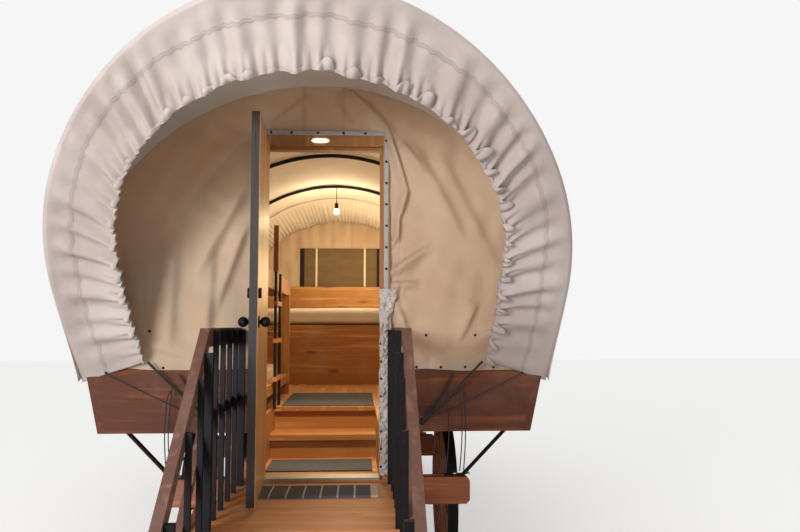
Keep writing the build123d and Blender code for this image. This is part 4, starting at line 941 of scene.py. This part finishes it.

# %% [markdown]
# At the door end the cords' loose ends hang from the taut ones, down to one height. Each is its own
# piece. The left side mirrors the right one, and the third end leaves from the same place as the
# second.

# %% Loose ends of the cords
tail_foot, tail_radius = 0.870, 0.0035
tails = (
    # x where it leaves its taut cord, that cord, x where it hangs, how far it bows out
    (0.782, tips[1], 0.782, 0.018),
    (0.863, tips[0], 0.863, 0.015),
    (0.863, tips[0], 0.887, 0.012),
)
for side, sx in (("right", 1), ("left", -1)):
    for number, (x_at, tip, hangs_at, bow) in enumerate(tails, 1):
        part = (x_at - eye_x) / (tip[0] - eye_x)
        top_v = -0.016 + (tip[1] + 0.016) * part
        top_z = eye_z + (tip[2] - eye_z) * part - cord_hang * 4 * part * (1 - part)
        share = np.linspace(0, 1, 60)[:, None]
        fall = np.concatenate([
            sx * (x_at + (hangs_at - x_at) * smooth(0.0, 0.15, share) + bow * np.sin(math.pi * share)),
            door_end + top_v - 0.010 * np.sin(math.pi * share),
            top_z + (tail_foot - top_z) * share,
        ], 1)
        tube = closed_tube(fall, tail_radius, 8)
        tail = make(f"cord_tail_{side}_{number}", [tube], rope.material, closed=True)
eyes, eye_radius = [], 0.016
turn = np.linspace(0, 2 * math.pi, 25)[:, None]
for end in ("rear", "front"):
    for sx in (1, -1):
        loop_path = np.concatenate([
            sx * eye_x + eye_radius * np.cos(turn),
            door_end - 0.018 + 0 * turn,
            eye_z + eye_radius * np.sin(turn),
        ], 1)
        stem_z = eye_z - eye_radius
        stem = straight((sx * eye_x, door_end + 0.004, stem_z), (sx * eye_x, door_end - 0.018, stem_z), 6)
        for route in (loop_path, stem):
            eyes.append(closed_tube(route if end == "rear" else to_front(route), 0.004, 8))
eye_piece = make("eye_bolts", eyes, stud_finish, closed=True)

# %% [markdown]
# ## Bolts of the frame
# Galvanised bolt heads show at the feet of the rail posts and on the braces.

# %% Bolts
zinc = iron("zinc", colour(196, 196, 194), 0.28, 1.0, 0.25)
heads = []
for sx in (1, -1):
    for v in (-0.106, -0.30, -0.50, -0.69, -0.88, -1.076):
        for z in (0.70, 0.775):
            heads.append(dome_grid((sx * 0.511, door_end + v, z), (sx, 0, 0), 0.011, 0.008, 8))
    for x in (0.86, 0.945):
        for y in (door_end + 0.17, door_end + box_length - 0.17):
            heads.append(dome_grid((sx * x, y, 0.812), (0, 0, 1), 0.014, 0.010, 8))
bolts = make("bolts", heads, zinc, closed=True)

# %% [markdown]
# ## Door leaf
# Outside the leaf is nearly black, and its inside is bare pine. One finish does both: the
# distance through the leaf, worked out from the place, says which side a point is on.

# %% Door finish
leaf = Finish("door leaf")
place = leaf.place()
swing = math.radians(87)
hinge_x, hinge_y = -0.3535, door_end - 0.036
through_leaf = (leaf.axis(place, "X") - hinge_x) * math.sin(swing)
through_leaf = through_leaf + (leaf.axis(place, "Y") - hinge_y) * math.cos(swing)
inside = through_leaf.ramp(0.0475, 0.0492)
grain_at = leaf.place((16, 16, 0.9))
streak = leaf.noise(grain_at, 1.0, 6.0, 0.6, 0.8)
fine = leaf.noise(grain_at, 6.0, 3.0)
rings = (streak * 10.0 + fine).math("SINE") * 0.5 + 0.5
leaf_grain = (rings * 0.5 + streak * 0.5).ramp(0.2, 0.85)
pine_tone = leaf.mix(leaf_grain, colour(196, 138, 78), colour(226, 186, 128))
dark_tone = leaf.mix(streak * 0.7, colour(30, 24, 23), colour(58, 44, 38))
leaf_material = leaf.feed(
    Base_Color=leaf.mix(inside, dark_tone, pine_tone),
    Roughness=fine * 0.2 + 0.35,
    Normal=leaf.bump(rings * 0.5 + fine * 0.5, 0.001),
)
dress(leaf_material, "door_leaf")

# %% [markdown]
# ## Mats, lamp and beds
# The mats are ribbed grey carpet. The one before the door has pale bars across it.

# %% Mat finish
mat = Finish("mat", Roughness=0.92)
place = mat.place()
rib = (mat.axis(place, "Y") * (2 * math.pi / 0.012)).math("SINE") * 0.5 + 0.5
tuft = mat.noise(place, 260.0, 3.0)
along_x, level = mat.axis(place, "X"), mat.axis(place, "Z")
bar = ((along_x + 0.33) / 0.0935).math("FRACT")
bar = (bar - 0.5).math("ABSOLUTE").ramp(0.44, 0.46)
edge_right = along_x.ramp(0.327, 0.33)
outside = (mat.axis(place, "Y") - door_end).ramp(-0.10, -0.06, 1.0, 0.0)
on_deck = level.ramp(0.822, 0.8225, 1.0, 0.0) * outside
weave_tone = mat.mix((rib * 0.5 + tuft * 0.5).ramp(0.2, 0.8), colour(42, 45, 50), colour(84, 89, 97))
barred = mat.mix((bar.math("MAXIMUM", edge_right)) * on_deck, weave_tone, colour(176, 164, 140))
mat.feed(Base_Color=barred, Normal=mat.bump(rib * 0.6 + tuft * 0.4, 0.003))
dress(mat.material, "mats")

# %% [markdown]
# The bunks' ladder is black iron with pine rungs. Height alone tells them apart: a point closer to a
# rung's middle than half its thickness is wood.

# %% Ladder finish
ladder = Finish("ladder", Roughness=0.45)
up = ladder.axis(ladder.place(), "Z")
near_rungs = ((up - at).math("ABSOLUTE") for at in (1.361, 1.637, 1.908))
rung = sum((near.ramp(0.0158, 0.0162, 1.0, 0.0) for near in near_rungs), 0.0)
grain_noise = ladder.noise(ladder.place((16, 1, 16)), 1.5, 5.0)
ladder.feed(
    Base_Color=ladder.mix(rung, colour(30, 28, 28), colour(196, 132, 72)),
    Normal=ladder.bump(grain_noise, 0.0008),
)
dress(ladder.material, "bunk_ladder")

# %% [markdown]
# Two lamps show their own glass. It gives off light in the picture, and the lamps at the end of
# this file do the real lighting.

# %% Lamp glass and light in the header
glass = Finish("lamp glass", Roughness=0.1, Emission_Strength=6.0)
glow = glass.noise(glass.place(), 12.0, 2.0)
glass.feed(
    Base_Color=glass.mix(glow * 0.2, colour(255, 240, 214), colour(255, 226, 180)),
    Emission_Color=glass.mix(glow * 0.3, colour(255, 236, 200), colour(255, 214, 160)),
)
dress(glass.material, "header_light")
lamp_glass = Finish("bulb", Roughness=0.15, Emission_Strength=5.0)
height = lamp_glass.axis(lamp_glass.place(), "Z")
is_glass = height.ramp(2.998, 3.002, 1.0, 0.0)
lamp_glass.feed(
    Base_Color=lamp_glass.mix(is_glass, colour(28, 26, 26), colour(255, 240, 214)),
    Emission_Color=lamp_glass.mix(is_glass, (0, 0, 0, 1), colour(255, 232, 190)),
)
dress(lamp_glass.material, "hanging_lamp")

# %% [markdown]
# A mattress is a ball squared off until it fills its box: small powers of a cosine and a sine stay
# near 1 and turn the corner late. A crown and soft dents on top show that it is padded.

# %% Mattresses
ticking = Finish("ticking", Roughness=0.85, Sheen_Weight=0.2)
place = ticking.place()
weft = (ticking.axis(place, "X") * 1800.0).math("SINE")
weft = weft * (ticking.axis(place, "Y") * 1800.0).math("SINE")
fold_noise = ticking.noise(place, 5.0, 6.0, 0.6, 0.6)
ticking.feed(
    Base_Color=ticking.mix(fold_noise * 0.8, colour(236, 226, 210), colour(206, 194, 176)),
    Normal=ticking.bump(fold_noise * 0.8 + weft * 0.1, 0.008),
)


def pad_grid(box, square, crown, seed):
    """Pad that fills a box: a squared-off ball, whose power sets how square it is, with a crown on
    top and soft dents. The first angle goes round it and the second from its foot to its top."""
    low, high = np.array(box[0]), np.array(box[1])
    middle, half = (low + high) / 2, (high - low) / 2
    turn = np.linspace(0, 2 * math.pi, 160, endpoint=False)[None, :]
    rise = np.linspace(-math.pi / 2, math.pi / 2, 60)[:, None]
    ring = signed_power(np.cos(rise), square)
    x = half[0] * ring * signed_power(np.cos(turn), 0.22)
    y = half[1] * ring * signed_power(np.sin(turn), 0.22)
    z = half[2] * signed_power(np.sin(rise), 0.45) + 0 * turn
    z = z + crown * smooth(0.0, 1.0, np.sin(rise)) * (1 - (x / half[0]) ** 2) * (1 - (y / half[1]) ** 2)
    z = z + 0.006 * waves(x + middle[0], y + middle[1], seed, 0.5) * smooth(0.0, 0.6, np.sin(rise))
    return np.stack([middle[0] + x, middle[1] + y, middle[2] + z], -1)


def pad(name, box, square, crown, seed):
    """A mattress that fills a box, with its faces turned away from the box's middle."""
    middle = [(a + b) / 2 for a, b in zip(*box)]
    grid = pad_grid(box, square, crown, seed)
    return make(name, [grid], ticking.material, closed=True, centre=middle)


bed_pad = pad("bed_pad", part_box("bed_mattress"), 0.16, 0.02, 61)
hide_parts("bed_mattress")
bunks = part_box("bunk_mattresses")
pad_height = 0.13
low_box = (bunks[0], (bunks[1][0], bunks[1][1], bunks[0][2] + pad_height))
high_box = ((bunks[0][0], bunks[0][1], bunks[1][2] - pad_height), bunks[1])
for name, box, seed in (("lower_bunk_pad", low_box, 62), ("upper_bunk_pad", high_box, 63)):
    bunk_pad = pad(name, box, 0.2, 0.015, seed)
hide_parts("bunk_mattresses")

# %% [markdown]
# ## Floor and light
# A pale floor and a white world give plain studio light. To the camera alone both look a little
# brighter than they light the wagon. Inside, warm lamps make the canvas glow as it does at dusk.

# %% Floor and light
reach = 30
corners = [(-reach, -reach, 0), (reach, -reach, 0), (reach, reach, 0), (-reach, reach, 0)]
ground_mesh = bpy.data.meshes.new("ground")
ground_mesh.from_pydata(corners, [], [(0, 1, 2, 3)])
ground = bpy.data.objects.new("ground", ground_mesh)
bpy.context.scene.collection.objects.link(ground)
floor_finish = Finish("ground", Roughness=0.9, Base_Color=colour(236, 236, 234), Emission_Color=(1, 1, 1, 1))
seen = floor_finish.node("ShaderNodeLightPath", {}, {}, "Is Camera Ray")
floor_finish.tree.links.new((seen * 0.35).socket, floor_finish.shader.inputs["Emission Strength"])
ground.data.materials.append(floor_finish.material)

scene = bpy.context.scene
scene.view_settings.view_transform = "Standard"
scene.world = bpy.data.worlds.new("world")
scene.world.use_nodes = True
background = scene.world.node_tree.nodes["Background"]
background.inputs["Color"].default_value = (1, 1, 1, 1)
light_path = scene.world.node_tree.nodes.new("ShaderNodeLightPath")
level = scene.world.node_tree.nodes.new("ShaderNodeMapRange")
level.inputs["To Min"].default_value, level.inputs["To Max"].default_value = 0.60, 0.92
scene.world.node_tree.links.new(light_path.outputs["Is Camera Ray"], level.inputs["Value"])
scene.world.node_tree.links.new(level.outputs[0], background.inputs["Strength"])


def lamp(name, kind, power, place, aim=None, size=1.0, tint=(1, 1, 1)):
    """A lamp at a place, turned to face another."""
    made = bpy.data.objects.new(name, bpy.data.lights.new(name, kind))
    made.data.energy, made.data.color = power, tint
    if kind == "AREA":
        made.data.size = size
    else:
        made.data.shadow_soft_size = size
    made.location = place
    if aim is not None:
        way = np.array(aim, float) - np.array(place, float)
        tilt = math.atan2(math.hypot(way[0], way[1]), -way[2])
        made.rotation_euler = (tilt, 0, math.atan2(way[0], -way[1]) + math.pi)
    bpy.context.scene.collection.objects.link(made)
    return made


lamp("key", "AREA", 360, (-3.2, door_end - 6.5, 2.9), (0.2, door_end, 1.9), 2.0)
lamp("pendant light", "POINT", 25, (0, door_end + 3.36, 2.86), None, 0.06, (1, 0.78, 0.48))
header_at, header_aim = (0.006, door_end + 0.03, 2.84), (0.006, door_end + 0.76, 1.0)
header = lamp("header light", "SPOT", 260, header_at, header_aim, 0.05, (1, 0.78, 0.5))
header.data.spot_size, header.data.spot_blend = math.radians(46), 0.7
lamp("glow", "POINT", 19, (0.25, door_end + 1.5, 2.10), None, 0.25, (1, 0.66, 0.32))
lamp("far glow", "POINT", 25, (0.3, door_end + 4.3, 2.45), None, 0.25, (1, 0.76, 0.44))
